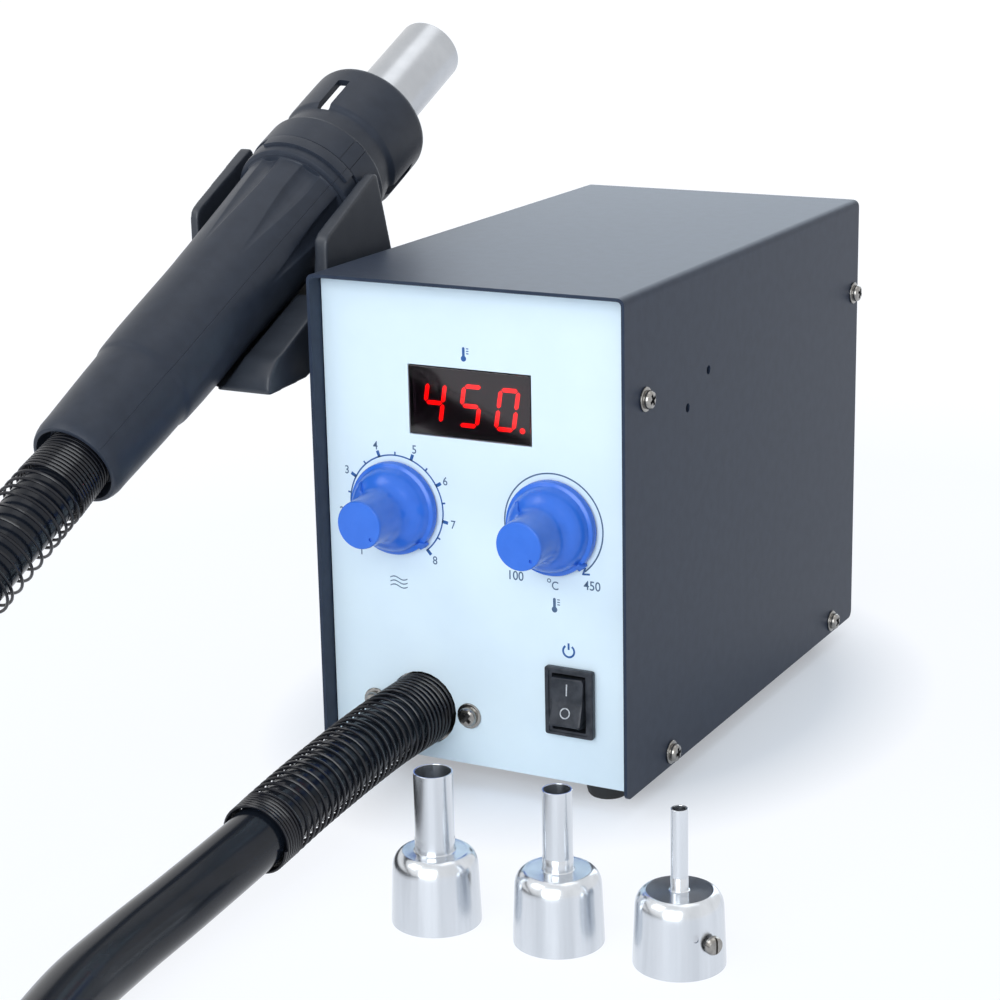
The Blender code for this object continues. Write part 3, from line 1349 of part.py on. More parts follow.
def handle_profile():
    """Outer side from the front down to the tail, then the bore back up."""
    spring_room = FREE_SPRING_RADIUS + WIRE_RADIUS + GAP
    hose_room = HOSE_RADIUS + GAP
    waist = GRIP_MIDDLE_RADIUS
    outer = [
        (FLANGE_RADIUS, HANDLE_LENGTH),
        (FLANGE_RADIUS, FLANGE_START),
        (GRIP_FRONT_RADIUS, FLANGE_START),
        (GRIP_FRONT_RADIUS - GRIP_SWELL * 0.6, FLANGE_START - GRIP_TAPER * 0.3),
        (waist + GRIP_SWELL, FLANGE_START - GRIP_TAPER * 0.6),
        (waist, FLANGE_START - GRIP_TAPER),
        (waist - GRIP_STEP_HEIGHT, GRIP_STEP + GRIP_STEP_HEIGHT),
        (waist - 2 * GRIP_STEP_HEIGHT, GRIP_STEP - GRIP_STEP_HEIGHT),
        (GRIP_REAR_RADIUS, TAIL_BAND),
        (TAIL_RADIUS, TAIL_EDGE),
        (TAIL_RADIUS - TAIL_EDGE, 0),
    ]
    front_bore = waist - HANDLE_WALL
    inner = [
        (spring_room, 0),
        (spring_room, SPRING_SEAT),
        (hose_room, SPRING_SEAT),
        (hose_room, HOSE_SEAT),
        (GRIP_REAR_RADIUS - HANDLE_WALL, HOSE_SEAT + SPRING_SEAT),
        (front_bore, FLANGE_START - FLANGE_THICKNESS),
        (front_bore, HANDLE_LENGTH),
    ]
    return outer + inner


def flute_tools(word):
    """Teardrop cutters round the front of the grip."""
    tools = []
    run = FLUTE_END - FLUTE_START
    start_radius = GRIP_MIDDLE_RADIUS + GRIP_SWELL + FLUTE_TIP_RADIUS
    end_radius = GRIP_FRONT_RADIUS + FLUTE_RADIUS - FLUTE_DEPTH
    slope = atan2(GRIP_FRONT_RADIUS - GRIP_MIDDLE_RADIUS, run)
    middle = Matrix.Translation(((start_radius + end_radius) / 2, 0, (FLUTE_START + FLUTE_END) / 2))
    lean = Matrix.Rotation(atan2(end_radius - start_radius, run), 4, "Y")
    for number in range(FLUTE_COUNT):
        bm = bmesh.new()
        bmesh.ops.create_cone(
            bm,
            cap_ends=True,
            segments=10,
            radius1=FLUTE_TIP_RADIUS,
            radius2=FLUTE_RADIUS,
            depth=run / cos(slope),
        )
        angle = FLUTE_FIRST + number * 2 * pi / FLUTE_COUNT
        bm.transform(Matrix.Rotation(angle, 4, "Z") @ middle @ lean)
        tools.append(finish(from_bmesh(f"flute_{word}_{number}", bm), parent=HANDPIECE))
    return tools


def make_handle():
    """Two half shells that meet on a seam plane through the axis."""
    for word, side in (("upper", -1), ("lower", 1)):
        name = f"handle_{word}_shell"
        shell = turned(name, handle_profile(), 24, (0, 0, 0), material=HANDLE, ring=True, parent=HANDPIECE)
        cut(shell, *flute_tools(word))
        reach = 2 * FLANGE_RADIUS
        low = (-reach, GAP / 2, -reach)
        high = (reach, reach, HANDLE_LENGTH + reach)
        half = block(f"{word}_half", low, high, parent=HANDPIECE)
        half.rotation_euler = (0, 0, SEAM_ANGLE + (pi if side < 0 else 0))
        half.location = half.rotation_euler.to_matrix() @ half.location
        combine(shell, "INTERSECT", [half])


def make_collar():
    """The vented nose collar, snapped to the handle's flange."""
    disc_foot = HANDLE_LENGTH + 2 * GAP + BARREL_LIP_THICKNESS
    disc_top = disc_foot + COLLAR_DISC
    lip_room = BARREL_RADIUS + BARREL_LIP + GAP
    rim = COLLAR_RADIUS - COLLAR_WALL
    profile = [
        (COLLAR_RADIUS - COLLAR_EDGE, COLLAR_END),
        (COLLAR_RADIUS - COLLAR_EDGE * 0.3, COLLAR_END - COLLAR_EDGE * 0.5),
        (COLLAR_RADIUS, COLLAR_END - COLLAR_EDGE * 1.6),
        (COLLAR_RADIUS, COLLAR_START),
        (COLLAR_NECK_RADIUS, COLLAR_NECK),
        (COLLAR_NECK_RADIUS + COLLAR_EDGE * 0.7, COLLAR_BASE_END + COLLAR_WALL),
        (COLLAR_BASE_RADIUS, COLLAR_BASE_END),
        (COLLAR_BASE_RADIUS, HANDLE_LENGTH + GAP),
        (lip_room, HANDLE_LENGTH + GAP),
        (lip_room, disc_foot),
        (BARREL_RADIUS + GAP, disc_foot),
        (BARREL_RADIUS + GAP, disc_top),
        (COLLAR_NECK_RADIUS - COLLAR_WALL, disc_top),
        (COLLAR_NECK_RADIUS - COLLAR_WALL, COLLAR_NECK),
        (rim, COLLAR_START + COLLAR_EDGE),
        (rim, COLLAR_END),
    ]
    collar = turned("nose_collar", profile, 24, (0, 0, 0), material=HANDLE, ring=True, parent=HANDPIECE)
    for number, angle in enumerate(COLLAR_SLOT_ANGLES):
        low = (BARREL_RADIUS + COLLAR_WALL, -COLLAR_SLOT_WIDTH / 2, COLLAR_NECK)
        high = (COLLAR_BASE_RADIUS + COLLAR_WALL, COLLAR_SLOT_WIDTH / 2, COLLAR_SLOT_END)
        slot = block(f"collar_slot_{number}", low, high, parent=HANDPIECE)
        slot.rotation_euler = (0, 0, angle)
        slot.location = slot.rotation_euler.to_matrix() @ slot.location
        cut(collar, slot)


def make_barrel():
    inner = BARREL_RADIUS - BARREL_WALL
    foot = HANDLE_LENGTH + GAP
    lip = BARREL_RADIUS + BARREL_LIP
    profile = [
        (BARREL_RADIUS, BARREL_END),
        (BARREL_RADIUS, foot + BARREL_LIP_THICKNESS),
        (lip, foot + BARREL_LIP_THICKNESS),
        (lip, foot),
        (inner, foot),
        (inner, BARREL_END),
    ]
    turned("barrel", profile, 24, (0, 0, 0), material=CHROME, ring=True, parent=HANDPIECE)
    heater = rod(
        "heater_core",
        inner - GAP,
        HEATER_START,
        HEATER_LENGTH,
        (0, 0, 0),
        sides=16,
        material=CERAMIC_WHITE,
        parent=HANDPIECE,
    )
    start = HEATER_START - GAP
    length = HEATER_LENGTH + 2 * GAP
    for number in range(HEATER_HOLES):
        angle = number * 2 * pi / HEATER_HOLES
        place = (HEATER_HOLE_CIRCLE * cos(angle), HEATER_HOLE_CIRCLE * sin(angle), 0)
        name = f"heater_bore_{number}"
        cut(heater, rod(name, HEATER_HOLE_RADIUS, start, length, place, sides=6, parent=HANDPIECE))


# Hose and springs


def smooth_curve(points, step):
    """Read a smooth curve through points at steps of about the same length."""
    fine = []
    for i in range(len(points) - 1):
        before = points[max(i - 1, 0)]
        first = points[i]
        second = points[i + 1]
        after = points[min(i + 2, len(points) - 1)]
        for k in range(24):
            t = k / 24
            fine.append(
                0.5
                * (
                    2 * first
                    + (second - before) * t
                    + (2 * before - 5 * first + 4 * second - after) * t * t
                    + (3 * first - before - 3 * second + after) * t * t * t
                )
            )
    fine.append(points[-1])
    lengths = [0.0]
    for first, second in zip(fine, fine[1:]):
        lengths.append(lengths[-1] + (second - first).length)
    count = max(2, round(lengths[-1] / step))
    return [read_curve(fine, lengths, lengths[-1] * i / count) for i in range(count + 1)]


def read_curve(fine, lengths, at):
    """The point at a length along a fine polyline."""
    for i in range(1, len(fine)):
        if lengths[i] >= at or i == len(fine) - 1:
            share = (at - lengths[i - 1]) / (lengths[i] - lengths[i - 1])
            return fine[i - 1].lerp(fine[i], min(max(share, 0), 1))


def hose_axis(height):
    """A point on the handpiece's axis, in the station's frame."""
    return HANDPIECE.matrix_local @ Vector((0, 0, height))


def port_route():
    """Points of the hose's middle line from the port to where the handpiece's stretch begins."""
    port = Vector((PORT_X, 0, 0))
    bench = [port + Vector(point) * MM for point in HOSE_FROM_PORT]
    return [*bench, hose_axis(HOSE_PARTING_LEAD), hose_axis(HOSE_PARTING - GAP)]


def spring_points(path, start, turns, pitches, first_radius, last_radius):
    """A coil round a path, from a length along it, in stretches of turns at one pitch each."""
    lengths = [0.0]
    for first, second in zip(path, path[1:]):
        lengths.append(lengths[-1] + (second - first).length)
    points = []
    at = start
    side = Vector((1, 0, 0))
    steps = [pitch / WIRE_POINTS for count, pitch in zip(turns, pitches) for _ in range(count * WIRE_POINTS)]
    for number, step in enumerate(steps):
        centre = read_curve(path, lengths, at)
        ahead = read_curve(path, lengths, at + WIRE_RADIUS)
        along = (ahead - read_curve(path, lengths, at - WIRE_RADIUS)).normalized()
        side = (side - along * side.dot(along)).normalized()
        up = along.cross(side)
        radius = first_radius + (last_radius - first_radius) * number / len(steps)
        angle = number * 2 * pi / WIRE_POINTS
        points.append(centre + radius * (side * cos(angle) + up * sin(angle)))
        at += step
    return points


def make_hose():
    fine = smooth_curve(port_route(), CURVE_STEP)
    tube("hose_station_side", smooth_curve(port_route(), HOSE_STEP), HOSE_RADIUS, 3, BLACK_RUBBER)
    tail = [Vector((0, 0, HOSE_PARTING)), Vector((0, 0, HOSE_SEAT - SPRING_SEAT))]
    tube("hose_handpiece_side", tail, HOSE_RADIUS, 3, BLACK_RUBBER, HANDPIECE)
    start = HOSE_ROOT_Y - PANEL_BACK + WIRE_RADIUS + 2 * GAP
    coil = spring_points(
        fine, start, PORT_SPRING_TURNS, PORT_SPRING_PITCHES, PORT_SPRING_RADIUS, FREE_SPRING_RADIUS
    )
    tube("port_spring", coil, WIRE_RADIUS, 0, BLACK_RUBBER)
    tail_path = [Vector((0, 0, HOSE_SEAT)), Vector((0, 0, HOSE_PARTING + HOSE_PARTING_LEAD))]
    start = HOSE_SEAT - SPRING_SEAT + WIRE_RADIUS + GAP
    coil = spring_points(
        tail_path, start, TAIL_SPRING_TURNS, TAIL_SPRING_PITCHES, FREE_SPRING_RADIUS, FREE_SPRING_RADIUS
    )
    tube("tail_spring", coil, WIRE_RADIUS, 0, BLACK_RUBBER, HANDPIECE)


# Nozzles


def make_nozzle(word, x, y, tube_radius, screw_angle):
    """A bell that clamps on the barrel, with a tube on top and its clamp screw."""
    wall = NOZZLE_WALL
    top_radius = BELL_TOP_RADIUS
    shoulder = BELL_HEIGHT - BELL_SHOULDER
    profile = [
        (tube_radius, NOZZLE_HEIGHT),
        (tube_radius, BELL_HEIGHT + wall),
        (top_radius - BELL_SHOULDER * 0.75, BELL_HEIGHT),
        (top_radius - BELL_SHOULDER * 0.25, BELL_HEIGHT - BELL_SHOULDER * 0.35),
        (top_radius, shoulder),
        (BELL_MOUTH_RADIUS, 0),
        (BELL_MOUTH_RADIUS - wall, 0),
        (top_radius - wall, shoulder),
        (top_radius - BELL_SHOULDER * 0.75 - wall, BELL_HEIGHT - wall),
        (tube_radius - wall, BELL_HEIGHT - wall),
        (tube_radius - wall, NOZZLE_HEIGHT),
    ]
    nozzle = turned(f"nozzle_{word}", profile, 16, (x, y, 0), material=CHROME, ring=True)
    turn = (pi / 2, 0, screw_angle + pi / 2)
    place = (x, y, NOZZLE_SCREW_Z)
    start = top_radius - BELL_SHOULDER
    hole = rod(f"nozzle_hole_{word}", NOZZLE_SCREW_RADIUS + GAP, start, 2 * BELL_SHOULDER, place, turn, 8)
    cut(nozzle, hole)
    seat = BELL_MOUTH_RADIUS + GAP
    head = NOZZLE_SCREW_HEAD_RADIUS
    top = seat + NOZZLE_SCREW_HEAD
    screw_profile = [
        (0, top),
        (head * 0.8, top),
        (head, seat + NOZZLE_SCREW_HEAD * 0.6),
        (head, seat),
        (NOZZLE_SCREW_RADIUS, seat),
        (NOZZLE_SCREW_RADIUS, seat - NOZZLE_SCREW_LENGTH),
        (0, seat - NOZZLE_SCREW_LENGTH),
    ]
    turned(f"nozzle_screw_{word}", screw_profile, 10, place, turn, NICKEL)


def centre_on_base():
    """Put the origin under the middle of the object, on the bench, leaving its hose and springs out."""
    free = {"hose_station_side", "hose_handpiece_side", "port_spring", "tail_spring"}
    bpy.context.view_layer.update()
    graph = bpy.context.evaluated_depsgraph_get()
    corners = []
    for obj in PARTS.objects:
        if obj.type == "MESH" and obj.name not in free:
            seen = obj.evaluated_get(graph)
            corners += [seen.matrix_world @ vertex.co for vertex in seen.data.vertices]
    for axis in range(2):
        values = [corner[axis] for corner in corners]
        STATION.location[axis] = -(min(values) + max(values)) / 2


make_cover()
make_cover_screws()
make_tray()
make_feet()
make_front_panel()
make_rear_panel()
make_display()
make_control("air", AIR_KNOB_X)
make_control("temperature", TEMPERATURE_KNOB_X)
make_rocker_switch()
make_port()
make_blower()
make_duct()
make_transformer()
make_main_board()
make_mains_inlet()
make_cradle()
make_handle()
make_collar()
make_barrel()
make_hose()
for size_word, nozzle in NOZZLES.items():
    make_nozzle(size_word, *nozzle)
centre_on_base()
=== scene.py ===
"""Looks of a hot air rework station: case, dials, display, handpiece in its cradle, hose and three nozzles.

Lengths are in millimetres. The case's own frame has its origin at the middle of the cover's lower front edge,
x to the right, y to the rear and z up.
"""

from math import atan, cos, pi, radians, sin, tan

import bmesh
import bpy
from mathutils import Matrix, Vector


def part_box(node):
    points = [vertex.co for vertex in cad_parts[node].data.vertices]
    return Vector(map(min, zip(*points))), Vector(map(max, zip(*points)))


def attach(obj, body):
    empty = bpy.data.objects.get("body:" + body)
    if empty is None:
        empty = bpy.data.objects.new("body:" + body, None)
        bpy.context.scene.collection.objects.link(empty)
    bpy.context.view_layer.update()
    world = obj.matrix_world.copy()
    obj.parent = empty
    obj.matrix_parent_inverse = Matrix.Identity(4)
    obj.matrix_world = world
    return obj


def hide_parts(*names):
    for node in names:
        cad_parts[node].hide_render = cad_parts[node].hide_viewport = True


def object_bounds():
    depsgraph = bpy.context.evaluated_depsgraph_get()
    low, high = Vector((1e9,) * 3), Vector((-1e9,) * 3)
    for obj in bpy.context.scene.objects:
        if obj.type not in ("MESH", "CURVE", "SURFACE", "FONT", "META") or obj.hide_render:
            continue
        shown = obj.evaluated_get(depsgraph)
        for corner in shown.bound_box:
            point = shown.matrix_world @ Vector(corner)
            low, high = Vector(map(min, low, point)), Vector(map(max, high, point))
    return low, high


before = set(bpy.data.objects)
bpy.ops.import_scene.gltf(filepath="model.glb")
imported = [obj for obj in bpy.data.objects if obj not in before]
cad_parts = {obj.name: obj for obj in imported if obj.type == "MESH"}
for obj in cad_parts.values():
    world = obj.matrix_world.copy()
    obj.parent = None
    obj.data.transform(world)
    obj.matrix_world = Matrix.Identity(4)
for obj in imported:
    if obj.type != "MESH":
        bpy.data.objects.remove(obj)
cad_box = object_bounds()

MM = 0.001
MICRON = 0.000001
GAP = 0.3

# Places read from the frame
cover_low, cover_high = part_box("cover")
ORIGIN = Vector(((cover_low.x + cover_high.x) / 2, cover_low.y, cover_low.z))
CASE_WIDTH = (cover_high.x - cover_low.x) / MM
CASE_DEPTH = (cover_high.y - cover_low.y) / MM
CASE_HEIGHT = (cover_high.z - cover_low.z) / MM
BENCH = -cover_low.z / MM

# Case
SHEET = 1.0
COVER_BEND = 2.5
COVER_CORNER = 2.5
PANEL_FACE = 5.9
SCREW_PLACES = {
    "upper_front": (13.0, 113.8),
    "upper_rear": (CASE_DEPTH - 4.4, 113.8),
    "lower_front": (30.2, 4.3),
    "lower_rear": (CASE_DEPTH - 19.8, 4.3),
}
SCREW_HOLE_RADIUS = 1.6
CRADLE_HOLES = ((42.2, 104.9), (57.1, 112.9))
CRADLE_HOLE_RADIUS = 1.35
FOOT_PLACES = {
    "front_left": (-36, 17),
    "front_right": (36, 17),
    "rear_left": (-36, CASE_DEPTH - 17),
    "rear_right": (36, CASE_DEPTH - 17),
}

# Front panel fittings
WINDOW = (-1.1, 108.95)
WINDOW_SIZE = (39.4, 20.5)
LENS_BACK = 8.7
KNOB_Z = 76.3
AIR_KNOB_X = -25.9
HEAT_KNOB_X = 24.9
ROCKER = (30.0, 25.15)
PORT = (-19.2, 15.4)
PORT_SCREW_SPACING = 31.6

# Handpiece, its lengths measured from its tail
HANDPIECE_PLACE = (-84.84, -66.75, 100.04)
HANDPIECE_TILT = radians(26.46)
HANDPIECE_YAW = radians(2.23)

# Nozzles on the bench: x, y, tube radius and the way the clamp screw faces
NOZZLES = {
    "large": (32.3, -78.5, 5.1, radians(150)),
    "medium": (66.2, -75.7, 3.85, radians(150)),
    "small": (98.7, -73.9, 2.15, radians(-25)),
}


# Frames: each maps its own millimetres to the world


def shift(x, y, z=0):
    return Matrix.Translation((x, y, z))


def rotate(angle, axis="Z"):
    return Matrix.Rotation(angle, 4, axis)


CASE_FRAME = Matrix.Translation(ORIGIN) @ Matrix.Scale(MM, 4)
FACING_FRONT = rotate(pi / 2, "X")
FACING_RIGHT = rotate(pi / 2, "Y")
FACING_LEFT = rotate(-pi / 2, "Y")
SIDE_VIEW = Matrix(((0, 0, 1, 0), (1, 0, 0, 0), (0, 1, 0, 0), (0, 0, 0, 1)))
SWAP_X_AND_Z = Matrix(((0, 0, 1, 0), (0, 1, 0, 0), (1, 0, 0, 0), (0, 0, 0, 1)))


def handpiece_frame():
    """z runs along the handpiece to its nozzle end, x is up and y to the right."""
    flat = cos(HANDPIECE_TILT)
    along = Vector((flat * sin(HANDPIECE_YAW), flat * cos(HANDPIECE_YAW), sin(HANDPIECE_TILT)))
    right = along.cross(Vector((0, 0, 1))).normalized()
    upward = right.cross(along)
    turn = Matrix((upward, right, along)).transposed().to_4x4()
    return CASE_FRAME @ shift(*HANDPIECE_PLACE) @ turn


HANDPIECE_FRAME = handpiece_frame()
HANDPIECE_IN_CASE = CASE_FRAME.inverted() @ HANDPIECE_FRAME


def placed(x, y, z, turn=Matrix.Identity(4)):
    """A frame at a place of the case, turned as given."""
    return CASE_FRAME @ shift(x, y, z) @ turn


def on_front(x, z, y=PANEL_FACE):
    """A frame on the panel whose z points out of it."""
    return placed(x, y, z, FACING_FRONT)


# Scene tools


def new_object(name, data):
    obj = bpy.data.objects.new(name, data)
    bpy.context.scene.collection.objects.link(obj)
    return obj


def mesh_of(name, bm):
    mesh = bpy.data.meshes.new(name)
    bm.to_mesh(mesh)
    bm.free()
    return mesh


# Camera
CAMERA_PLACE = (325.4, -587.0, 271.1)
CAMERA_AZIMUTH = radians(28.154)
CAMERA_DIP = radians(15.692)
CAMERA_ROLL = radians(-1.165)
SENSOR = 36
FOCAL_PIXELS = 2469.7
FRAME_PIXELS = 1000


def make_camera():
    flat = cos(CAMERA_DIP)
    forward = Vector((-sin(CAMERA_AZIMUTH) * flat, cos(CAMERA_AZIMUTH) * flat, -sin(CAMERA_DIP)))
    level = Vector((cos(CAMERA_AZIMUTH), sin(CAMERA_AZIMUTH), 0))
    upright = level.cross(forward)
    right = cos(CAMERA_ROLL) * level + sin(CAMERA_ROLL) * upright
    up = -sin(CAMERA_ROLL) * level + cos(CAMERA_ROLL) * upright
    lens = bpy.data.cameras.new("camera")
    lens.sensor_width = SENSOR
    lens.lens = SENSOR * FOCAL_PIXELS / FRAME_PIXELS
    lens.clip_start = 0.05
    lens.clip_end = 20
    camera = new_object("camera", lens)
    camera.matrix_world = Matrix((right, up, -forward)).transposed().to_4x4()
    camera.matrix_world.translation = ORIGIN + Vector(CAMERA_PLACE) * MM
    bpy.context.scene.camera = camera


make_camera()
bpy.context.scene.view_settings.view_transform = "Standard"


# Mesh tools

SHARP = radians(50)


def outward(bm):
    """Turn all faces outward."""
    bmesh.ops.recalc_face_normals(bm, faces=bm.faces)
    return bm


def skin(bm, rows, ring=False):
    """Join rows of vertices into a closed surface. A ring's last row joins its first, others get ends."""
    pairs = list(zip(rows, rows[1:]))
    if ring:
        pairs.append((rows[-1], rows[0]))
    for first, second in pairs:
        sides = max(len(first), len(second))
        for i in range(sides):
            j = (i + 1) % sides
            corners = [row[n % len(row)] for row, n in ((first, i), (first, j), (second, j), (second, i))]
            face = list(dict.fromkeys(corners))
            if len(face) > 2:
                bm.faces.new(face)
    if not ring:
        for row in (rows[0], rows[-1]):
            if len(row) > 2:
                bm.faces.new(row)
    return outward(bm)


def circle(sides):
    """Cosine and sine of even steps round a circle."""
    return [(cos(a), sin(a)) for a in (2 * pi * i / sides for i in range(sides))]


def lathe(profile, sides=96, ring=False):
    """Turn (radius, height) points about z. A ring's profile closes on itself."""
    bm = bmesh.new()
    rows = []
    for radius, height in profile:
        around_z = circle(sides) if radius else [(0, 0)]
        rows.append([bm.verts.new((radius * u, radius * v, height)) for u, v in around_z])
    return skin(bm, rows, ring)


def soften(points, radius, steps=4):
    """Round the corners of a closed flat outline. A list gives each corner its own radius."""
    radii = radius if isinstance(radius, (list, tuple)) else [radius] * len(points)
    made = []
    for i, point in enumerate(points):
        here = Vector(point)
        before = Vector(points[i - 1]) - here
        after = Vector(points[(i + 1) % len(points)]) - here
        angle = before.angle(after)
        if radii[i] <= 0 or angle > radians(176):
            made.append(tuple(here))
            continue
        reach = min(radii[i] / tan(angle / 2), before.length * 0.48, after.length * 0.48)
        start = here + before.normalized() * reach
        end = here + after.normalized() * reach
        for k in range(steps + 1):
            t = k / steps
            made.append(tuple(start * (1 - t) ** 2 + here * 2 * t * (1 - t) + end * t * t))
    return made


def slab(outline, low, high):
    """A flat outline in x and y, thick from low to high in z."""
    bm = bmesh.new()
    lower = [bm.verts.new((x, y, low)) for x, y in outline]
    upper = [bm.verts.new((x, y, high)) for x, y in outline]
    bm.faces.new(lower)
    bm.faces.new(upper)
    for i in range(len(outline)):
        j = (i + 1) % len(outline)
        bm.faces.new((lower[i], lower[j], upper[j], upper[i]))
    return outward(bm)


def box(low, high):
    return slab([(low[0], low[1]), (high[0], low[1]), (high[0], high[1]), (low[0], high[1])], low[2], high[2])


def drum(radius, low, high, sides=32):
    return lathe([(0, high), (radius, high), (radius, low), (0, low)], sides)


def rectangle(width, height, centre=(0, 0)):
    x, y = centre
    return [(x + u * width / 2, y + v * height / 2) for u, v in ((-1, -1), (1, -1), (1, 1), (-1, 1))]


def capsule(width, length):
    """The outline of a bar with round ends, along y."""
    half = length / 2 - width / 2
    points = []
    for centre, first in ((half, 0), (-half, 180)):
        for k in range(9):
            angle = radians(first + 180 * k / 8)
            points.append((width / 2 * cos(angle), centre + width / 2 * sin(angle)))
    return points


def moved(bm, matrix):
    bm.transform(matrix)
    return bm


def ease(bm, width, segments=2, angle=radians(30)):
    """Round the edges sharper than an angle."""
    edges = [e for e in bm.edges if len(e.link_faces) == 2 and e.calc_face_angle() > angle]
    bmesh.ops.bevel(
        bm, geom=edges, offset=width, segments=segments, profile=0.5, affect="EDGES", clamp_overlap=True
    )
    return bm


def result_of(obj, *used):
    """The mesh that an object's modifiers make. The objects behind it are deleted."""
    bm = bmesh.new()
    bm.from_object(obj, bpy.context.evaluated_depsgraph_get())
    for spent in (obj, *used):
        mesh = spent.data
        bpy.data.objects.remove(spent)
        bpy.data.meshes.remove(mesh)
    return bm


def combine(bm, operation, tools):
    """Cut tools from a mesh, or join them to it."""
    target, *cutters = (new_object("loose", mesh_of("loose", each)) for each in (bm, *tools))
    for cutter in cutters:
        boolean = target.modifiers.new("combine", "BOOLEAN")
        boolean.operation = operation
        boolean.object = cutter
        boolean.solver = "MANIFOLD"
    return result_of(target, *cutters)


def cut(bm, *tools):
    return combine(bm, "DIFFERENCE", tools)


def join(bm, *tools):
    return combine(bm, "UNION", tools)


def merged(*meshes):
    """Several meshes side by side as one."""
    result = bmesh.new()
    for bm in meshes:
        mesh = mesh_of("part", bm)
        result.from_mesh(mesh)
        bpy.data.meshes.remove(mesh)
    return result


def sweep(points, radius, sides):
    """A round tube through points, with flat ends."""
    bm = bmesh.new()
    side = (points[1] - points[0]).orthogonal()
    rows = []
    for before, point, after in zip([points[0], *points], points, [*points[1:], points[-1]]):
        along = (after - before).normalized()
        side = (side - along * side.dot(along)).normalized()
        across = along.cross(side)
        rows.append([bm.verts.new(point + radius * (side * u + across * v)) for u, v in circle(sides)])
    return skin(bm, rows)


def piece(
    name, bm, body, material, place=CASE_FRAME, stands_for=None, angle=radians(35), flat=True,
    second=None,
):
    """Put a mesh in the scene as a piece of a body. Its flat faces stay flat beside rounded edges."""
    bm.transform(place)
    mesh = mesh_of(name, bm)
    mesh.materials.append(material)
    if second:
        mesh.materials.append(second)
    mesh.shade_smooth()
    mesh.set_sharp_from_angle(angle=angle)
    obj = new_object(name, mesh)
    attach(obj, body)
    if flat:
        normals = obj.modifiers.new("flat_faces", "WEIGHTED_NORMAL")
        normals.keep_sharp = True
    if stands_for:
        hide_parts(stands_for)
    return obj


# Materials

NOISE_DETAIL = 3
MOTTLE_BAND = (0.35, 0.65)


def feed(socket, value):
    """Link a node's output to a socket, or give the socket a plain value."""
    if isinstance(value, bpy.types.NodeSocket):
        socket.id_data.links.new(value, socket)
    else:
        socket.default_value = value


def add_node(tree, kind, sockets=None, **settings):
    """A shader node with its settings, and what feeds its sockets."""
    node = tree.nodes.new("ShaderNode" + kind)
    for setting, value in settings.items():
        setattr(node, setting, value)
    for socket, value in (sockets or {}).items():
        feed(node.inputs[socket], value)
    return node


def noise(tree, scale, stretch):
    """Noise over the object's own place, in features of about 1/scale metres."""
    place = add_node(tree, "TexCoord").outputs["Object"]
    if stretch:
        place = add_node(tree, "Mapping", {"Scale": stretch, "Vector": place}).outputs["Vector"]
    look = {"Scale": scale, "Detail": NOISE_DETAIL, "Vector": place}
    return add_node(tree, "TexNoise", look).outputs["Fac"]


def finish(name, colour, roughness, mottle=None, grain=None, stretch=None, **sockets):
    """A material with plain values on its shader.

    A mottle is a second colour and the scale of its noise. A grain is fine relief: the scale of its noise,
    its strength and its depth in microns.
    """
    material = bpy.data.materials.new(name)
    material.use_nodes = True
    tree = material.node_tree
    shader = tree.nodes["Principled BSDF"]
    shader.inputs["Base Color"].default_value = (*colour, 1)
    shader.inputs["Roughness"].default_value = roughness
    for socket, value in sockets.items():
        shader.inputs[socket.replace("_", " ").title().replace("Ior", "IOR")].default_value = value
    if mottle:
        second, scale = mottle
        ramp = add_node(tree, "ValToRGB", {"Fac": noise(tree, scale, stretch)})
        for step, position, shade in zip(ramp.color_ramp.elements, MOTTLE_BAND, (colour, second)):
            step.position = position
            step.color = (*shade, 1)
        feed(shader.inputs["Base Color"], ramp.outputs["Color"])
    if grain:
        scale, strength, depth = grain
        relief = {"Strength": strength, "Distance": depth * MICRON, "Height": noise(tree, scale, stretch)}
        feed(shader.inputs["Normal"], add_node(tree, "Bump", relief).outputs["Normal"])
    return material


POWDER = finish(
    "powder_coat", (0.024, 0.034, 0.058), 0.40, ((0.029, 0.041, 0.068), 260), (2200, 0.22, 60),
    specular_ior_level=0.16,
)
PANEL = finish("panel_paint", (0.71, 0.83, 0.91), 0.38, ((0.73, 0.85, 0.92), 60), (1500, 0.05, 30))
PANEL_INK = finish("panel_ink", (0.012, 0.085, 0.28), 0.5, ((0.015, 0.10, 0.32), 900))
FIGURE_INK = finish("figure_ink", (0.055, 0.11, 0.20), 0.5, ((0.065, 0.125, 0.22), 900))
LENS = finish(
    "smoked_lens", (0.20, 0.12, 0.17), 0.05, grain=(90, 0.02, 30), transmission_weight=1.0, ior=1.6
)
LENS_BED = finish("display_body", (0.05, 0.036, 0.05), 0.6, grain=(3000, 0.1, 40))
DIGITS = finish(
    "lit_segments", (0.5, 0.005, 0.004), 0.5, grain=(3000, 0.1, 30),
    emission_color=(1.0, 0.0012, 0.0008, 1), emission_strength=9.0,
)
KNOB = finish("knob_plastic", (0.028, 0.150, 0.66), 0.24, ((0.034, 0.165, 0.70), 180), (1400, 0.10, 50))
SWITCH = finish(
    "switch_plastic", (0.016, 0.020, 0.027), 0.38, ((0.042, 0.046, 0.056), 300), (3500, 0.14, 40),
    specular_ior_level=0.32,
)
MARK_WHITE = finish("switch_marks", (0.36, 0.38, 0.41), 0.5, ((0.62, 0.64, 0.66), 1500))
HANDLE = finish(
    "handle_plastic", (0.024, 0.030, 0.044), 0.39, ((0.029, 0.036, 0.052), 200), (3200, 0.34, 90),
    specular_ior_level=0.26,
)
CRADLE = finish(
    "cradle_plastic", (0.024, 0.029, 0.040), 0.42, ((0.029, 0.035, 0.047), 200), (3200, 0.20, 60)
)
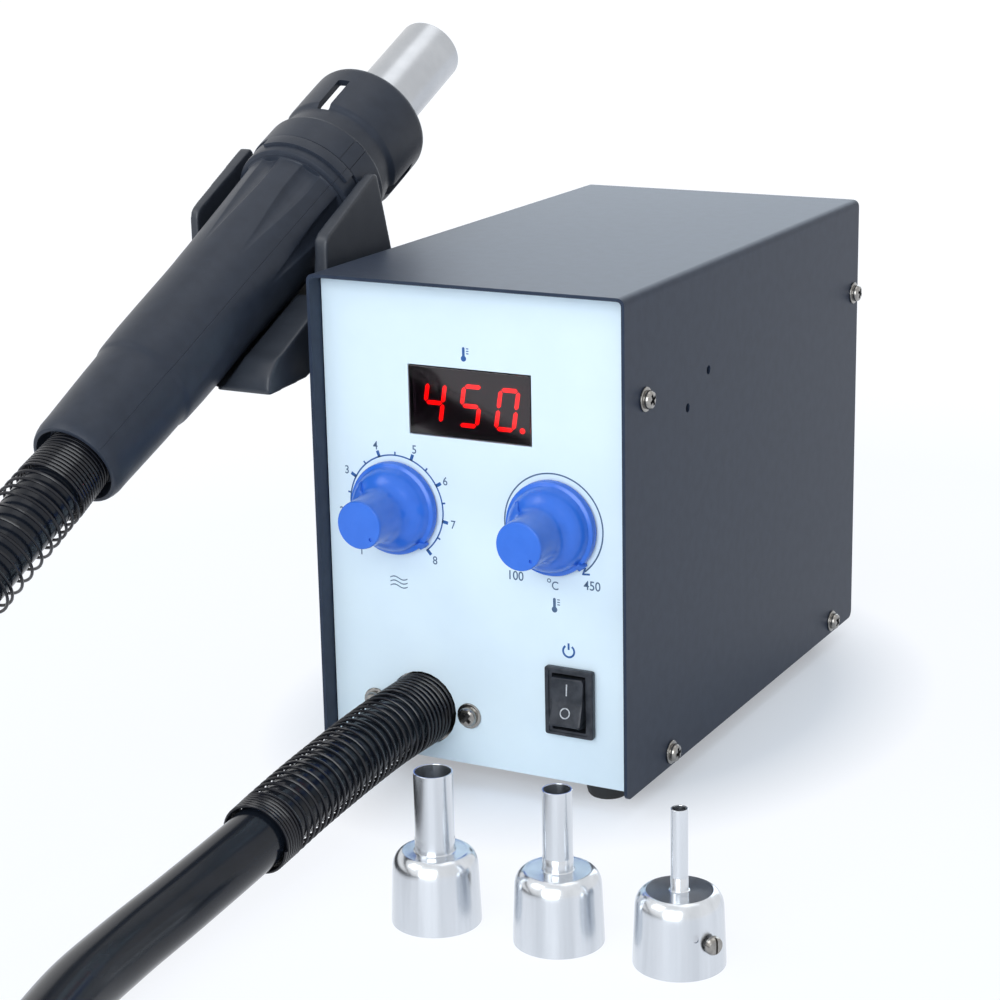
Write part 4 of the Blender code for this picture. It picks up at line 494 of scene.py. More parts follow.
HOSE = finish(
    "hose_rubber", (0.008, 0.011, 0.017), 0.17, ((0.010, 0.013, 0.020), 120), (160, 0.04, 100),
    specular_ior_level=0.24,
)
WIRE = finish("spring_wire", (0.005, 0.006, 0.010), 0.22, grain=(900, 0.05, 20), specular_ior_level=0.38)
FOOT = finish("foot_rubber", (0.016, 0.017, 0.019), 0.6, grain=(2500, 0.2, 50))
NICKEL = finish(
    "screw_plating", (0.26, 0.25, 0.24), 0.20, ((0.34, 0.33, 0.31), 900), (1800, 0.06, 40), metallic=1.0
)
# Plain dark colour for the faces inside a screw's cross recess: painted shade in the recess
RECESS_PAINTED_SHADE = finish("screw_recess_painted_shade", (0.03, 0.03, 0.032), 0.5, ((0.05, 0.05, 0.052), 900), metallic=0.5)
STEEL = finish(
    "polished_steel", (0.61, 0.64, 0.68), 0.22, ((0.70, 0.73, 0.77), 260), stretch=(1, 1, 0.04),
    metallic=1.0, anisotropic=0.7, anisotropic_rotation=0.25,
)
BARREL_STEEL = finish(
    "barrel_steel", (0.50, 0.52, 0.55), 0.27, ((0.46, 0.48, 0.51), 120), (900, 0.04, 30), metallic=1.0
)
CERAMIC = finish("heater_ceramic", (0.72, 0.66, 0.55), 0.7, ((0.80, 0.75, 0.65), 400), (1500, 0.2, 60))
BOARD = finish("board_laminate", (0.02, 0.13, 0.05), 0.4, ((0.03, 0.17, 0.07), 500))
COPPER = finish(
    "coil_wire", (0.45, 0.17, 0.06), 0.4, grain=(60, 0.6, 400), stretch=(1, 1, 40), metallic=0.8
)
IRON = finish("core_iron", (0.18, 0.18, 0.20), 0.5, grain=(60, 0.5, 300), stretch=(30, 1, 1), metallic=0.6)
BLOWER = finish("blower_plastic", (0.62, 0.62, 0.58), 0.45, grain=(1500, 0.1, 50))
ALUMINIUM = finish(
    "heat_sink_aluminium", (0.70, 0.71, 0.73), 0.38, grain=(900, 0.1, 50), stretch=(1, 12, 1),
    metallic=1.0,
)


# Hose and springs

HOSE_RADIUS = 8.5
HOSE_FROM_PORT = (
    (-19.2, 15.5, 21.4), (-19.2, 0, 21.4), (-20, -22, 20.5), (-20, -57.5, 17.6), (-20, -87.5, 13.7),
    (-19.8, -118, 10.7), (-19, -145, 9), (-15, -172, 8.7), (-4, -205, 8.7), (16, -242, 8.7), (36, -284, 8.7),
    (44, -328, 8.7), (34, -366, 8.7), (8, -394, 8.7), (-28, -404, 8.7), (-63, -392, 8.7), (-88, -364, 8.7),
    (-97, -326, 8.7), (-96.5, -288, 8.9), (-94, -251, 16.2), (-92, -218, 30.6),
)
HOSE_LEAD = -128
HOSE_PARTING = -92
HOSE_SEAT = 20
HOSE_STEP = 4
HOSE_SIDES = 40
HOSE_CLEARANCE = 0.05
WIRE_RADIUS = 0.45
WIRE_POINTS = 40
WIRE_SIDES = 8
GUIDE_STEP = 1.5
GUIDE_START = 24
GUIDE_POINTS = 90

# Springs: where they start along the hose, turns and pitch of each section, first and last radius
PORT_SPRING = (9.8, ((7, 1.9), (22, 3.1), (7, 1.15)), 10.4, 9.75)
TAIL_SPRING = (20.85, ((12, 1.2), (4, 3.1), (5, 4.7), (1, 1.2)), 9.5, 10.7)


def smooth_curve(points, step):
    """Read a smooth curve through points at steps of about the same length."""
    fine = []
    for i in range(len(points) - 1):
        before = points[max(i - 1, 0)]
        first = points[i]
        second = points[i + 1]
        after = points[min(i + 2, len(points) - 1)]
        for k in range(24):
            t = k / 24
            straight = (second - before) * t
            bend = (2 * before - 5 * first + 4 * second - after) * t * t
            twist = (3 * first - before - 3 * second + after) * t * t * t
            fine.append(0.5 * (2 * first + straight + bend + twist))
    fine.append(points[-1])
    lengths = path_lengths(fine)
    count = max(2, round(lengths[-1] / step))
    return [read_curve(fine, lengths, lengths[-1] * i / count) for i in range(count + 1)]


def path_lengths(points):
    lengths = [0.0]
    for first, second in zip(points, points[1:]):
        lengths.append(lengths[-1] + (second - first).length)
    return lengths


def read_curve(fine, lengths, at):
    """The point at a length along a fine polyline."""
    for i in range(1, len(fine)):
        if lengths[i] >= at or i == len(fine) - 1:
            share = (at - lengths[i - 1]) / (lengths[i] - lengths[i - 1])
            return fine[i - 1].lerp(fine[i], min(max(share, 0), 1))


def coil_points(path, start, sections, first_radius, last_radius):
    """A coil round a path, from a length along it, in sections of turns at one pitch."""
    lengths = path_lengths(path)
    turns = sum(count for count, pitch in sections)
    points = []
    at = start
    number = 0
    side = Vector((1, 0, 0))
    for count, pitch in sections:
        for _ in range(count * WIRE_POINTS):
            centre = read_curve(path, lengths, at)
            along = (read_curve(path, lengths, at + 1) - read_curve(path, lengths, at - 1)).normalized()
            side = (side - along * side.dot(along)).normalized()
            up = along.cross(side)
            share = number / (turns * WIRE_POINTS)
            radius = first_radius + (last_radius - first_radius) * share
            angle = number * 2 * pi / WIRE_POINTS
            points.append(centre + radius * (side * cos(angle) + up * sin(angle)))
            at += pitch / WIRE_POINTS
            number += 1
    return points


def kept_inside(points):
    """Hold a hose's middle line a radius inside the box of the solids."""
    low = CASE_FRAME.inverted() @ cad_box[0]
    edge = HOSE_RADIUS + HOSE_CLEARANCE
    return [Vector((max(p.x, low.x + edge), max(p.y, low.y + edge), max(p.z, low.z + edge))) for p in points]


def make_stretch(end, body, place, path, wire, solid, spring):
    """A stretch of the hose as a tube swept along a path, with the spring round its end."""
    hose = piece(
        f"hose_from_{end}", sweep(path, HOSE_RADIUS, HOSE_SIDES), body, HOSE, place, solid,
        flat=False,
    )
    coil = piece(
        f"{spring}_wire", sweep(wire, WIRE_RADIUS, WIRE_SIDES), body, WIRE, place, spring,
        flat=False,
    )


def make_hose():
    """The free hose in two stretches that part behind the handpiece's spring."""
    lead = [HANDPIECE_IN_CASE @ Vector((0, 0, s)) for s in (HOSE_LEAD, HOSE_PARTING - GAP)]
    route = [Vector((x, y, z + BENCH)) for x, y, z in HOSE_FROM_PORT] + lead
    path = kept_inside(smooth_curve(route, HOSE_STEP))
    wire = coil_points(smooth_curve(route, GUIDE_STEP), *PORT_SPRING)
    make_stretch("port", "station", CASE_FRAME, path, wire, "hose_station_side", "port_spring")
    steps = (HOSE_SEAT - HOSE_PARTING) // HOSE_STEP
    path = [Vector((0, 0, HOSE_SEAT - k * HOSE_STEP)) for k in range(steps + 1)]
    guide = [Vector((0, 0, GUIDE_START - k * GUIDE_STEP)) for k in range(GUIDE_POINTS)]
    wire = coil_points(guide, *TAIL_SPRING)
    make_stretch(
        "handle", "handpiece", HANDPIECE_FRAME, path, wire, "hose_handpiece_side", "tail_spring"
    )


make_hose()


# Studio: places and sizes in metres

# Lamps: place, size, power in watts and colour
LAMPS = {
    "front": ((0.25, -1.9, 0.75), (1.5, 1.5), 30, (0.93, 0.97, 1.0)),
    "key": ((-0.9, -0.9, 1.3), (0.8, 0.8), 5, (1, 1, 1)),
    "above": ((0.1, 0.3, 1.6), (1.0, 0.8), 2, (1, 1, 1)),
    "behind": ((-0.33, 1.56, 0.58), (1.15, 1.0), 6.0, (0.72, 0.86, 1.0)),
}
LAMP_AIM = (0, 0, 0.08)
FLOOR_HALF = 6.0
FLOOR_COLOUR = (0.80, 0.89, 0.99)
FLOOR_WHITE = (1.03, 1.05, 1.09)
WORLD_COLOUR = (0.86, 0.93, 1.0)
WORLD_STRENGTH = 0.38

# How much white the floor shows, from its far parts to the middle of the case; the smaller share round the
# case is a painted shade that darkens the floor there beyond its own shadow
WHITE_SHARES_AND_PAINTED_SHADE = ((0.4, 0.86), (0.745, 0.86), (0.83, 0.36))
WHITE_REACH = (0.40, 0.52)


def seen_rays(tree):
    """1 for what the camera, mirrors and glass see, 0 for the light on things."""
    rays = add_node(tree, "LightPath").outputs
    seen = rays["Is Camera Ray"]
    for kind in ("Is Glossy Ray", "Is Transmission Ray"):
        seen = add_node(tree, "Math", {0: seen, 1: rays[kind]}, operation="MAXIMUM").outputs[0]
    return seen


def mix_shaders(tree, share, first, second, output):
    mix = add_node(tree, "MixShader", {"Fac": share, 1: first.outputs[0], 2: second.outputs[0]})
    feed(tree.nodes[output].inputs["Surface"], mix.outputs["Shader"])


def make_floor():
    """A pale floor that looks white far off, with its own shadow near the object and a painted shade that
    darkens it round the case.
    """
    material = finish("floor_white", FLOOR_COLOUR, 0.9)
    tree = material.node_tree
    middle = (ORIGIN.x, ORIGIN.y + CASE_DEPTH * MM / 2)
    across, along = WHITE_REACH
    mapping = {
        "Location": (-middle[0] / across, -middle[1] / along, 0),
        "Scale": (1 / across, 1 / along, 1),
        "Vector": add_node(tree, "TexCoord").outputs["Object"],
    }
    place = add_node(tree, "Mapping", mapping).outputs["Vector"]
    near = add_node(tree, "TexGradient", {"Vector": place}, gradient_type="SPHERICAL").outputs["Fac"]
    # Round the case the ramp gives less white, a painted shade under and beside the case
    ramp = add_node(tree, "ValToRGB", {"Fac": near})
    steps = ramp.color_ramp.elements
    steps[0].color = (1, 1, 1, 1)
    steps.remove(steps[1])
    for at, share in WHITE_SHARES_AND_PAINTED_SHADE:
        steps.new(at).color = (share, share, share, 1)
    amount = {0: seen_rays(tree), 1: ramp.outputs["Color"]}
    share = add_node(tree, "Math", amount, operation="MULTIPLY").outputs[0]
    glow = add_node(tree, "Emission", {"Color": (*FLOOR_WHITE, 1)})
    mix_shaders(tree, share, tree.nodes["Principled BSDF"], glow, "Material Output")
    mesh = bpy.data.meshes.new("studio_floor")
    mesh.from_pydata([(x, y, 0) for x, y in rectangle(2 * FLOOR_HALF, 2 * FLOOR_HALF)], [], [(0, 1, 2, 3)])
    mesh.materials.append(material)
    new_object("studio_floor", mesh)


def make_world():
    """Pale light from all round, from a background that looks white."""
    world = bpy.data.worlds.new("studio")
    bpy.context.scene.world = world
    world.use_nodes = True
    tree = world.node_tree
    light = tree.nodes["Background"]
    feed(light.inputs["Color"], (*WORLD_COLOUR, 1))
    feed(light.inputs["Strength"], WORLD_STRENGTH)
    white = add_node(tree, "Background", {"Color": (1, 1, 1, 1)})
    mix_shaders(tree, seen_rays(tree), light, white, "World Output")


def make_lamps():
    for name, (place, size, power, colour) in LAMPS.items():
        data = bpy.data.lights.new(name, "AREA")
        data.shape = "RECTANGLE"
        data.size, data.size_y = size
        data.energy = power
        data.color = colour
        lamp = new_object(name, data)
        lamp.location = place
        lamp.rotation_euler = (Vector(LAMP_AIM) - Vector(place)).to_track_quat("-Z", "Y").to_euler()
        lamp.visible_camera = False


make_floor()
make_world()
make_lamps()


# Case

FOOT_PROFILE = [(0, 0), (6.6, 0), (6.8, -0.4), (6.7, -2.0), (5.9, -5.2), (5.3, BENCH), (0, BENCH)]

# Screws
HEAD_RADIUS = 2.7
SHANK_RADIUS = 1.4
SCREW_FOOT = 0.15
WASHER_THICKNESS = 0.5
RECESS_DEPTH = 1.7
RECESS_WIDTH = 1.05
RECESS_REACH = 2.0


def make_cover():
    """One sheet bent down over both sides, with eased edges and rounded lower corners."""
    half = CASE_WIDTH / 2
    inner = half - SHEET
    outline = [
        (-half, 0), (-half, CASE_HEIGHT), (half, CASE_HEIGHT), (half, 0),
        (inner, 0), (inner, CASE_HEIGHT - SHEET), (-inner, CASE_HEIGHT - SHEET), (-inner, 0),
    ]
    bend = COVER_BEND
    radii = [0, bend, bend, 0, 0, bend - SHEET, bend - SHEET, 0]
    section = soften(outline, radii, steps=8)
    cover = slab(section, 0, CASE_DEPTH)
    cover = outward(moved(cover, rotate(pi / 2, "X") @ Matrix.Scale(-1, 4, (0, 0, 1))))
    tools = []
    corner = COVER_CORNER
    arc = [(corner * (1 - sin(a)), corner * (1 - cos(a))) for a in (pi / 2 * k / 6 for k in range(7))]
    for y, way in ((0, 1), (CASE_DEPTH, -1)):
        outline = [(y - way, -1), (y + way * corner, -1)]
        outline += [(y + way * u, v) for u, v in arc]
        outline += [(y - way, corner)]
        tools.append(moved(slab(outline, -half - 1, half + 1), SIDE_VIEW))
    holes = [(place, CRADLE_HOLE_RADIUS) for place in CRADLE_HOLES]
    holes += [(place, SCREW_HOLE_RADIUS) for place in SCREW_PLACES.values()]
    for side in (-1, 1):
        for (y, z), radius in holes:
            tools.append(moved(drum(radius, -3, 3), shift(side * half, y, z) @ FACING_RIGHT))
    cover = ease(cut(cover, *tools), 0.18, 2, SHARP)
    piece("case_cover", cover, "station", POWDER, stands_for="cover")


def cross_recess(depth, width, reach):
    """Two crossed wedges that make a screwdriver's recess."""
    outline = [
        (-reach, 1), (reach, 1), (reach * 0.8, -0.4),
        (reach * 0.3, -depth), (-reach * 0.3, -depth), (-reach * 0.8, -0.4),
    ]
    wedges = []
    for turn in (0, pi / 2):
        wedge = outward(moved(slab(outline, -width / 2, width / 2), rotate(pi / 2, "X")))
        wedges.append(moved(wedge, rotate(turn)))
    return join(*wedges)


def screw_mesh(head_radius=HEAD_RADIUS, head=1.9, washer=3.5, length=6):
    """A pan-head screw with its washer; its place is on the face that it holds."""
    size = head_radius / HEAD_RADIUS
    base = SCREW_FOOT + (WASHER_THICKNESS if washer else 0)
    top = base + head
    profile = [
        (0, top), (head_radius * 0.6, top - 0.04), (head_radius * 0.85, top - 0.25),
        (head_radius * 0.97, top - 0.7), (head_radius, top - 1.2), (head_radius * 0.98, base + 0.02),
    ]
    if washer:
        profile += [(washer - 0.15, base), (washer, base - 0.15), (washer, SCREW_FOOT)]
    profile += [(SHANK_RADIUS, SCREW_FOOT), (SHANK_RADIUS, -length), (0, -length)]
    recess = cross_recess(RECESS_DEPTH, RECESS_WIDTH * size, RECESS_REACH * size)
    screw = ease(cut(lathe(profile, 48), moved(recess, shift(0, 0, top))), 0.05, 1, radians(40))
    # Faces inside the cross recess take the second material, a dark painted shade
    for face in screw.faces:
        middle = face.calc_center_median()
        deep = top - 1.9 < middle.z < top - 0.3
        steep = top - 0.3 <= middle.z < top - 0.08 and face.normal.z < 0.9
        if middle.xy.length < 2.15 * size and (deep or steep):
            face.material_index = 1
    return screw


def make_cover_screws():
    for side, turn, word in ((-1, FACING_LEFT, "left"), (1, FACING_RIGHT, "right")):
        for number, (corner, (y, z)) in enumerate(SCREW_PLACES.items()):
            place = placed(side * CASE_WIDTH / 2, y, z, turn @ rotate(radians(25 + 37 * number)))
            piece(
                f"case_screw_{word}_{corner}", screw_mesh(), "station", NICKEL, place,
                f"cover_screw_{word}_{corner}", second=RECESS_PAINTED_SHADE,
            )


def make_feet():
    for name, (x, y) in FOOT_PLACES.items():
        foot = ease(lathe(FOOT_PROFILE, 64), 0.3, 2, SHARP)
        piece(f"rubber_foot_{name}", foot, "station", FOOT, placed(x, y, 0), f"foot_{name}")


make_cover()
make_cover_screws()
make_feet()


# Prints on the panel

PRINT_LOW = 0.01
PRINT_HIGH = 0.035
FIGURE_EXTRUDE = 0.01
DIAL_RADIUS = 15.4
DIAL_LINE = 0.44
DIAL_END = 141


def printed(outline):
    return slab(outline, PRINT_LOW, PRINT_HIGH)


def bar(width, length, start, clockwise):
    """A printed bar from a radius outward, at an angle clockwise from the top."""
    return moved(printed(rectangle(width, length, (0, start + length / 2))), rotate(-radians(clockwise)))


def band(radius, width, first, last, steps=96):
    """A printed arc between two angles clockwise from the top."""
    bm = bmesh.new()
    rows = []
    outer, inner = radius + width / 2, radius - width / 2
    section = ((outer, PRINT_LOW), (inner, PRINT_LOW), (inner, PRINT_HIGH), (outer, PRINT_HIGH))
    for k in range(steps + 1):
        angle = radians(first + (last - first) * k / steps)
        rows.append([bm.verts.new((r * sin(angle), r * cos(angle), z)) for r, z in section])
    return skin(bm, rows)


def figure(text, height, x, y):
    """Printed figures of a height, centred on a place."""
    curve = bpy.data.curves.new("figure", "FONT")
    curve.body = text
    curve.size = 1
    curve.extrude = FIGURE_EXTRUDE
    curve.offset = 0.008
    curve.align_x = "CENTER"
    holder = new_object("figure", curve)
    mesh = bpy.data.meshes.new_from_object(holder.evaluated_get(bpy.context.evaluated_depsgraph_get()))
    bm = bmesh.new()
    bm.from_mesh(mesh)
    bpy.data.objects.remove(holder)
    bpy.data.curves.remove(curve)
    bpy.data.meshes.remove(mesh)
    bmesh.ops.remove_doubles(bm, verts=bm.verts, dist=0.0002)
    outward(bm)
    low = min(v.co.y for v in bm.verts)
    high = max(v.co.y for v in bm.verts)
    scale = height / (high - low)
    thick = (PRINT_HIGH - PRINT_LOW) / (2 * FIGURE_EXTRUDE)
    middle = (PRINT_HIGH + PRINT_LOW) / 2
    size = Matrix.Diagonal((scale * 0.92, scale, thick, 1))
    return moved(bm, shift(x, y - (low + high) / 2 * scale, middle) @ size)


def around(radius, clockwise):
    return radius * sin(radians(clockwise)), radius * cos(radians(clockwise))


def thermometer(height):
    """A plain thermometer sign: a stem, a bulb and three degree marks."""
    stem = printed(capsule(height * 0.2, height * 0.78))
    bulb = drum(height * 0.2, PRINT_LOW, PRINT_HIGH)
    marks = []
    for k in range(3):
        place = shift(height * 0.3, height * (0.05 + 0.17 * k))
        marks.append(moved(printed(capsule(height * 0.07, height * 0.2)), place @ rotate(pi / 2)))
    whole = join(moved(stem, shift(0, height * 0.1)), moved(bulb, shift(0, -height * 0.3)))
    return merged(whole, *marks)


def breeze(height):
    """A plain air sign: three waves."""
    waves = []
    for k in range(3):
        steps = [t / 16 for t in range(17)]
        wave = [Vector((height * (t - 0.5) * 1.7, 0.13 * height * sin(2 * pi * t))) for t in steps]
        upper = [(p.x, p.y + height * 0.05) for p in wave]
        lower = [(p.x, p.y - height * 0.05) for p in wave]
        waves.append(moved(printed(upper + lower[::-1]), shift(0, height * 0.36 * (k - 1))))
    return merged(*waves)


def on_panel(name, bm, x, z, ink):
    piece(name, bm, "station", ink, on_front(x, z), flat=False)


def make_prints():
    thin = [band(DIAL_RADIUS, DIAL_LINE, -DIAL_END, DIAL_END)]
    thin += [bar(0.5, 1.05, DIAL_RADIUS, -120 + 40 * k) for k in range(7)]
    on_panel("air_dial_line", merged(*thin), AIR_KNOB_X, KNOB_Z, PANEL_INK)
    thick = [bar(0.98, 2.05, DIAL_RADIUS - DIAL_LINE / 2, -140 + 40 * k) for k in range(8)]
    on_panel("air_dial_marks", merged(*thick), AIR_KNOB_X, KNOB_Z, PANEL_INK)
    figures = [figure(str(k + 1), 2.5, *around(18.9 + 0.3 * (k in (0, 7)), -140 + 40 * k)) for k in range(8)]
    on_panel("air_dial_figures", merged(*figures), AIR_KNOB_X, KNOB_Z, FIGURE_INK)
    line = band(DIAL_RADIUS, DIAL_LINE, -DIAL_END, DIAL_END)
    on_panel("temperature_dial_line", line, HEAT_KNOB_X, KNOB_Z, FIGURE_INK)
    strokes = []
    for way in (4.7, 68.8):
        stroke = printed([(-0.2, -0.28), (2.15, -0.28), (2.15, 0.28), (-0.2, 0.28)])
        strokes.append(moved(stroke, shift(9.1, -12.8) @ rotate(radians(way))))
    on_panel("temperature_dial_arrow", join(*strokes), HEAT_KNOB_X, KNOB_Z, PANEL_INK)
    low = figure("100", 2.75, 12.6, 60.4)
    high = figure("450", 2.75, 36.8, 60.4)
    unit = merged(figure("C", 2.5, 25.2, 59.0), moved(band(0.5, 0.26, 0, 360, 24), shift(23.3, 60.3)))
    on_panel("temperature_dial_figures", merged(low, high, unit), 0, 0, FIGURE_INK)
    on_panel("air_sign", breeze(3.4), AIR_KNOB_X, 53.4, FIGURE_INK)
    on_panel("temperature_sign", thermometer(4.4), HEAT_KNOB_X, 53.2, FIGURE_INK)
    on_panel("display_sign", thermometer(4.2), WINDOW[0] - 1.5, 123.4, PANEL_INK)
    power = merged(band(1.75, 0.6, 35, 325, 48), printed(rectangle(0.6, 2.0, (0, 1.4))))
    on_panel("power_sign", power, ROCKER[0] - 0.8, 40.0, PANEL_INK)


make_prints()


# Display

DIGIT_HEIGHT = 12.6
DIGIT_WIDTH = 6.8
DIGIT_THICKNESS = 0.14
STROKE = 1.22
STROKE_GAP = 0.26
DIGIT_LEAN = radians(9)
DIGIT_PLACES = (-13.4, -1.65, 10.05)
DIGIT_Z = 108.1
POINT_RADIUS = 0.82
POINT_PLACE = (14.75, 102.5)
BED_HEIGHT = 18
BED_DEPTH = 8
SEGMENTS = {"4": "bcfg", "5": "acdfg", "0": "abcdef"}


def segment(letter):
    """One straight stroke of a digit, pointed at both ends."""
    x = DIGIT_WIDTH / 2 - STROKE / 2
    y = DIGIT_HEIGHT / 2 - STROKE / 2
    ends = {
        "a": ((-x, y), (x, y)), "b": ((x, y), (x, 0)), "c": ((x, 0), (x, -y)), "d": ((-x, -y), (x, -y)),
        "e": ((-x, 0), (-x, -y)), "f": ((-x, y), (-x, 0)), "g": ((-x, 0), (x, 0)),
    }
    start, end = (Vector(point) for point in ends[letter])
    along = (end - start).normalized()
    across = Vector((-along.y, along.x)) * STROKE / 2
    start += along * STROKE_GAP
    end -= along * STROKE_GAP
    tip = along * STROKE * 0.5
    outline = [start, start + tip + across, end - tip + across, end, end - tip - across, start + tip - across]
    return slab([tuple(point) for point in outline], 0, DIGIT_THICKNESS)


def make_display():
    x, z = WINDOW
    width, height = (size - 2 * GAP for size in WINDOW_SIZE)
    lens = ease(slab(rectangle(width, height), -2.8, 0.2), 0.25, 3)
    lip = ease(slab(rectangle(width + 4, height + 4), -2.8, -1.35), 0.2, 1)
    place = on_front(x, z)
    piece("smoked_window", join(lens, lip), "station", LENS, place, "display_window")
    front = -(LENS_BACK + GAP - PANEL_FACE)
    bed = ease(slab(rectangle(width, BED_HEIGHT), front - BED_DEPTH, front), 0.3, 2)
    piece("display_bed", bed, "station", LENS_BED, place, "led_display")
    lean = Matrix(((1, tan(DIGIT_LEAN), 0, 0), (0, 1, 0, 0), (0, 0, 1, 0), (0, 0, 0, 1)))
    digits = []
    for text, centre in zip("450", DIGIT_PLACES):
        for letter in SEGMENTS[text]:
            digits.append(moved(segment(letter), shift(centre - x, DIGIT_Z - z) @ lean))
    point = drum(POINT_RADIUS, 0, DIGIT_THICKNESS)
    digits.append(moved(point, shift(POINT_PLACE[0] - x, POINT_PLACE[1] - z)))
    place = on_front(x, z, LENS_BACK + GAP - 0.02)
    piece("lit_figures", merged(*digits), "station", DIGITS, place, flat=False)


make_display()


# Knobs

KNOB_PROFILE = [
    (0, 21.5), (6.5, 21.5), (6.82, 21.4), (7, 21.1), (7.06, 20.6), (7.2, 15.5), (7.42, 12.2), (7.6, 11),
    (7.85, 10.2), (8.2, 9.5), (8.8, 8.75), (9.6, 8.05), (10.5, 7.3), (11.3, 6.4), (11.95, 5.3), (12.35, 4.2),
    (12.5, 3.55), (12.7, 3.3), (13.2, 3.15), (13.6, 2.9), (13.8, 2.4), (13.8, 0.8), (13.65, 0.6), (8.3, 0.6),
    (8.2, 0.7), (8.2, 6), (3.2, 6), (3.2, 17.3), (0, 17.3),
]
POINTER = [(12.9, 0.7), (14.7, 0.7), (14.7, 2.2), (14.3, 3.2), (12.9, 4.7)]
POINTER_THICKNESS = 1.9
POINTER_ANGLE = radians(-45)
FIN = [(7.3, 7.5), (7.3, 10.3), (9.0, 9.6), (11.3, 6.8), (10.4, 6.2)]
FIN_THICKNESS = 0.8
DIMPLE_RADIUS = 0.52
DIMPLE_FROM_MIDDLE = 5.3


def upright_slab(outline, thickness, angle):
    """A slab whose outline is in radius and height, standing out at an angle round z."""
    return moved(moved(slab(outline, -thickness / 2, thickness / 2), rotate(pi / 2, "X")), rotate(angle))


def make_knob(word, x):
    knob = lathe(KNOB_PROFILE, 128)
    pointer = upright_slab(POINTER, POINTER_THICKNESS, POINTER_ANGLE)
    fin = upright_slab(FIN, FIN_THICKNESS, POINTER_ANGLE + pi)
    knob = join(knob, ease(pointer, 0.3, 2), ease(fin, 0.15, 1))
    across, up = (DIMPLE_FROM_MIDDLE * part for part in (cos(POINTER_ANGLE), sin(POINTER_ANGLE)))
    knob = cut(knob, moved(drum(DIMPLE_RADIUS, 20.9, 22, 24), shift(across, up)))
    place = on_front(x, KNOB_Z)
    piece(f"{word}_dial_knob", knob, f"{word}_knob", KNOB, place, f"{word}_knob")


make_knob("air", AIR_KNOB_X)
make_knob("temperature", HEAT_KNOB_X)


# Rocker switch

BEZEL = (15.2, 20.5)
ROCKER_TILT = radians(-11)
ROCKER_HALF_WIDTH = 4.75
ROCKER_MIDDLE = 3.7
ROCKER_END = (7.0, 4.5)
ROCKER_SLOPE = atan((ROCKER_END[1] - ROCKER_MIDDLE) / ROCKER_END[0])
MARK_OFF = 0.02
MARK_HIGH = 0.04
MARK_LOW = -0.05


def on_rocker(mark, z):
    """A mark on one of the rocker's two slopes, at a height from its middle."""
    out = ROCKER_MIDDLE + MARK_OFF + abs(z) * tan(ROCKER_SLOPE)
    slope = ROCKER_SLOPE if z > 0 else -ROCKER_SLOPE
    return moved(mark, rotate(ROCKER_TILT, "X") @ shift(0, z, out) @ rotate(slope, "X"))


def make_switch():
    place = on_front(*ROCKER)
    bezel = ease(slab(soften(rectangle(*BEZEL), 0.9), 0.3, 2.3), 0.45, 3, SHARP)
    frame_step = slab(soften(rectangle(12.6, 18.6), 0.6), 1.95, 3)
    body = box((-6.45, -9.4, -16), (6.45, 9.4, 1.2))
    well = slab(soften(rectangle(10.6, 17.0), 0.4), -8.5, 4)
    pin_room = moved(drum(1.5, -5.9, 5.9, 24), FACING_RIGHT)
    housing = cut(join(bezel, body), frame_step, well, pin_room)
    piece("switch_frame", housing, "station", SWITCH, place, "rocker_housing")
    end, high = ROCKER_END
    outline = [
        (end, high), (0, ROCKER_MIDDLE), (-end, high),
        (-7.3, -1.65), (-2.66, -5.5), (2.66, -5.5), (7.3, -1.65),
    ]
    outline = soften(outline, [0.5, 9, 0.5, 0.8, 0.8, 0.8, 0.8], steps=6)
    paddle = moved(slab(outline, -ROCKER_HALF_WIDTH, ROCKER_HALF_WIDTH), SIDE_VIEW)
    pins = moved(drum(1.2, -5.6, 5.6, 24), FACING_RIGHT)
    paddle = moved(join(ease(paddle, 0.3, 3, radians(60)), pins), rotate(ROCKER_TILT, "X"))
    piece("switch_paddle", paddle, "rocker", SWITCH, place, "rocker")
    line = slab(rectangle(0.38, 3.4), MARK_LOW, MARK_HIGH)
    ring = lathe([(1.6, MARK_HIGH), (1.6, MARK_LOW), (1.26, MARK_LOW), (1.26, MARK_HIGH)], 48, ring=True)
    marks = merged(on_rocker(line, 3.6), on_rocker(ring, -3.1))
    piece("switch_marks", marks, "rocker", MARK_WHITE, place, flat=False)


make_switch()


# Hose port


def make_port_screws():
    for side, word in ((-1, "left"), (1, "right")):
        place = on_front(PORT[0] + side * PORT_SCREW_SPACING / 2, PORT[1])
        turn = rotate(radians(20 + 30 * side))
        piece(
            f"panel_screw_{word}", screw_mesh(2.95, 2.0, 3.85), "station", NICKEL, place @ turn,
            f"port_screw_{word}", second=RECESS_PAINTED_SHADE,
        )


make_port_screws()


# Handpiece

SEAM = radians(60)
SEAM_GAP = 0.002
HANDLE_LENGTH = 131
HANDLE_OUTER = [
    (12.5, 0), (13, 0.2), (13.3, 0.7), (13.7, 2), (13.95, 3.5), (14, 7), (14.25, 13), (14.5, 19.5),
    (14.75, 26), (14.9, 32), (14.95, 33.8), (15.08, 34.5), (15.38, 35.3), (15.52, 36), (15.6, 37),
    (15.9, 45), (16, 54), (16.05, 62), (16.1, 71), (16.2, 76), (16.35, 80),
]
HANDLE_FLANGE = [
    (18.1, 122.9), (18.45, 123.1), (18.5, 123.7), (19.5, 123.95), (19.85, 124.2), (19.95, 124.6), (20, 125.4),
    (20, 126.9), (20, 127.05), (20, 130.5), (19.9, 130.85), (19.6, 131),
]
HANDLE_INNER = [
    (13.5, 131), (13.5, 117), (11.6, 28), (8.8, 24), (8.8, 5), (10.6, 5), (11.3, 3.2),
    (11.75, 0.8), (11.95, 0.1),
]
HANDLE_COLUMNS = 260
WAIST = 80
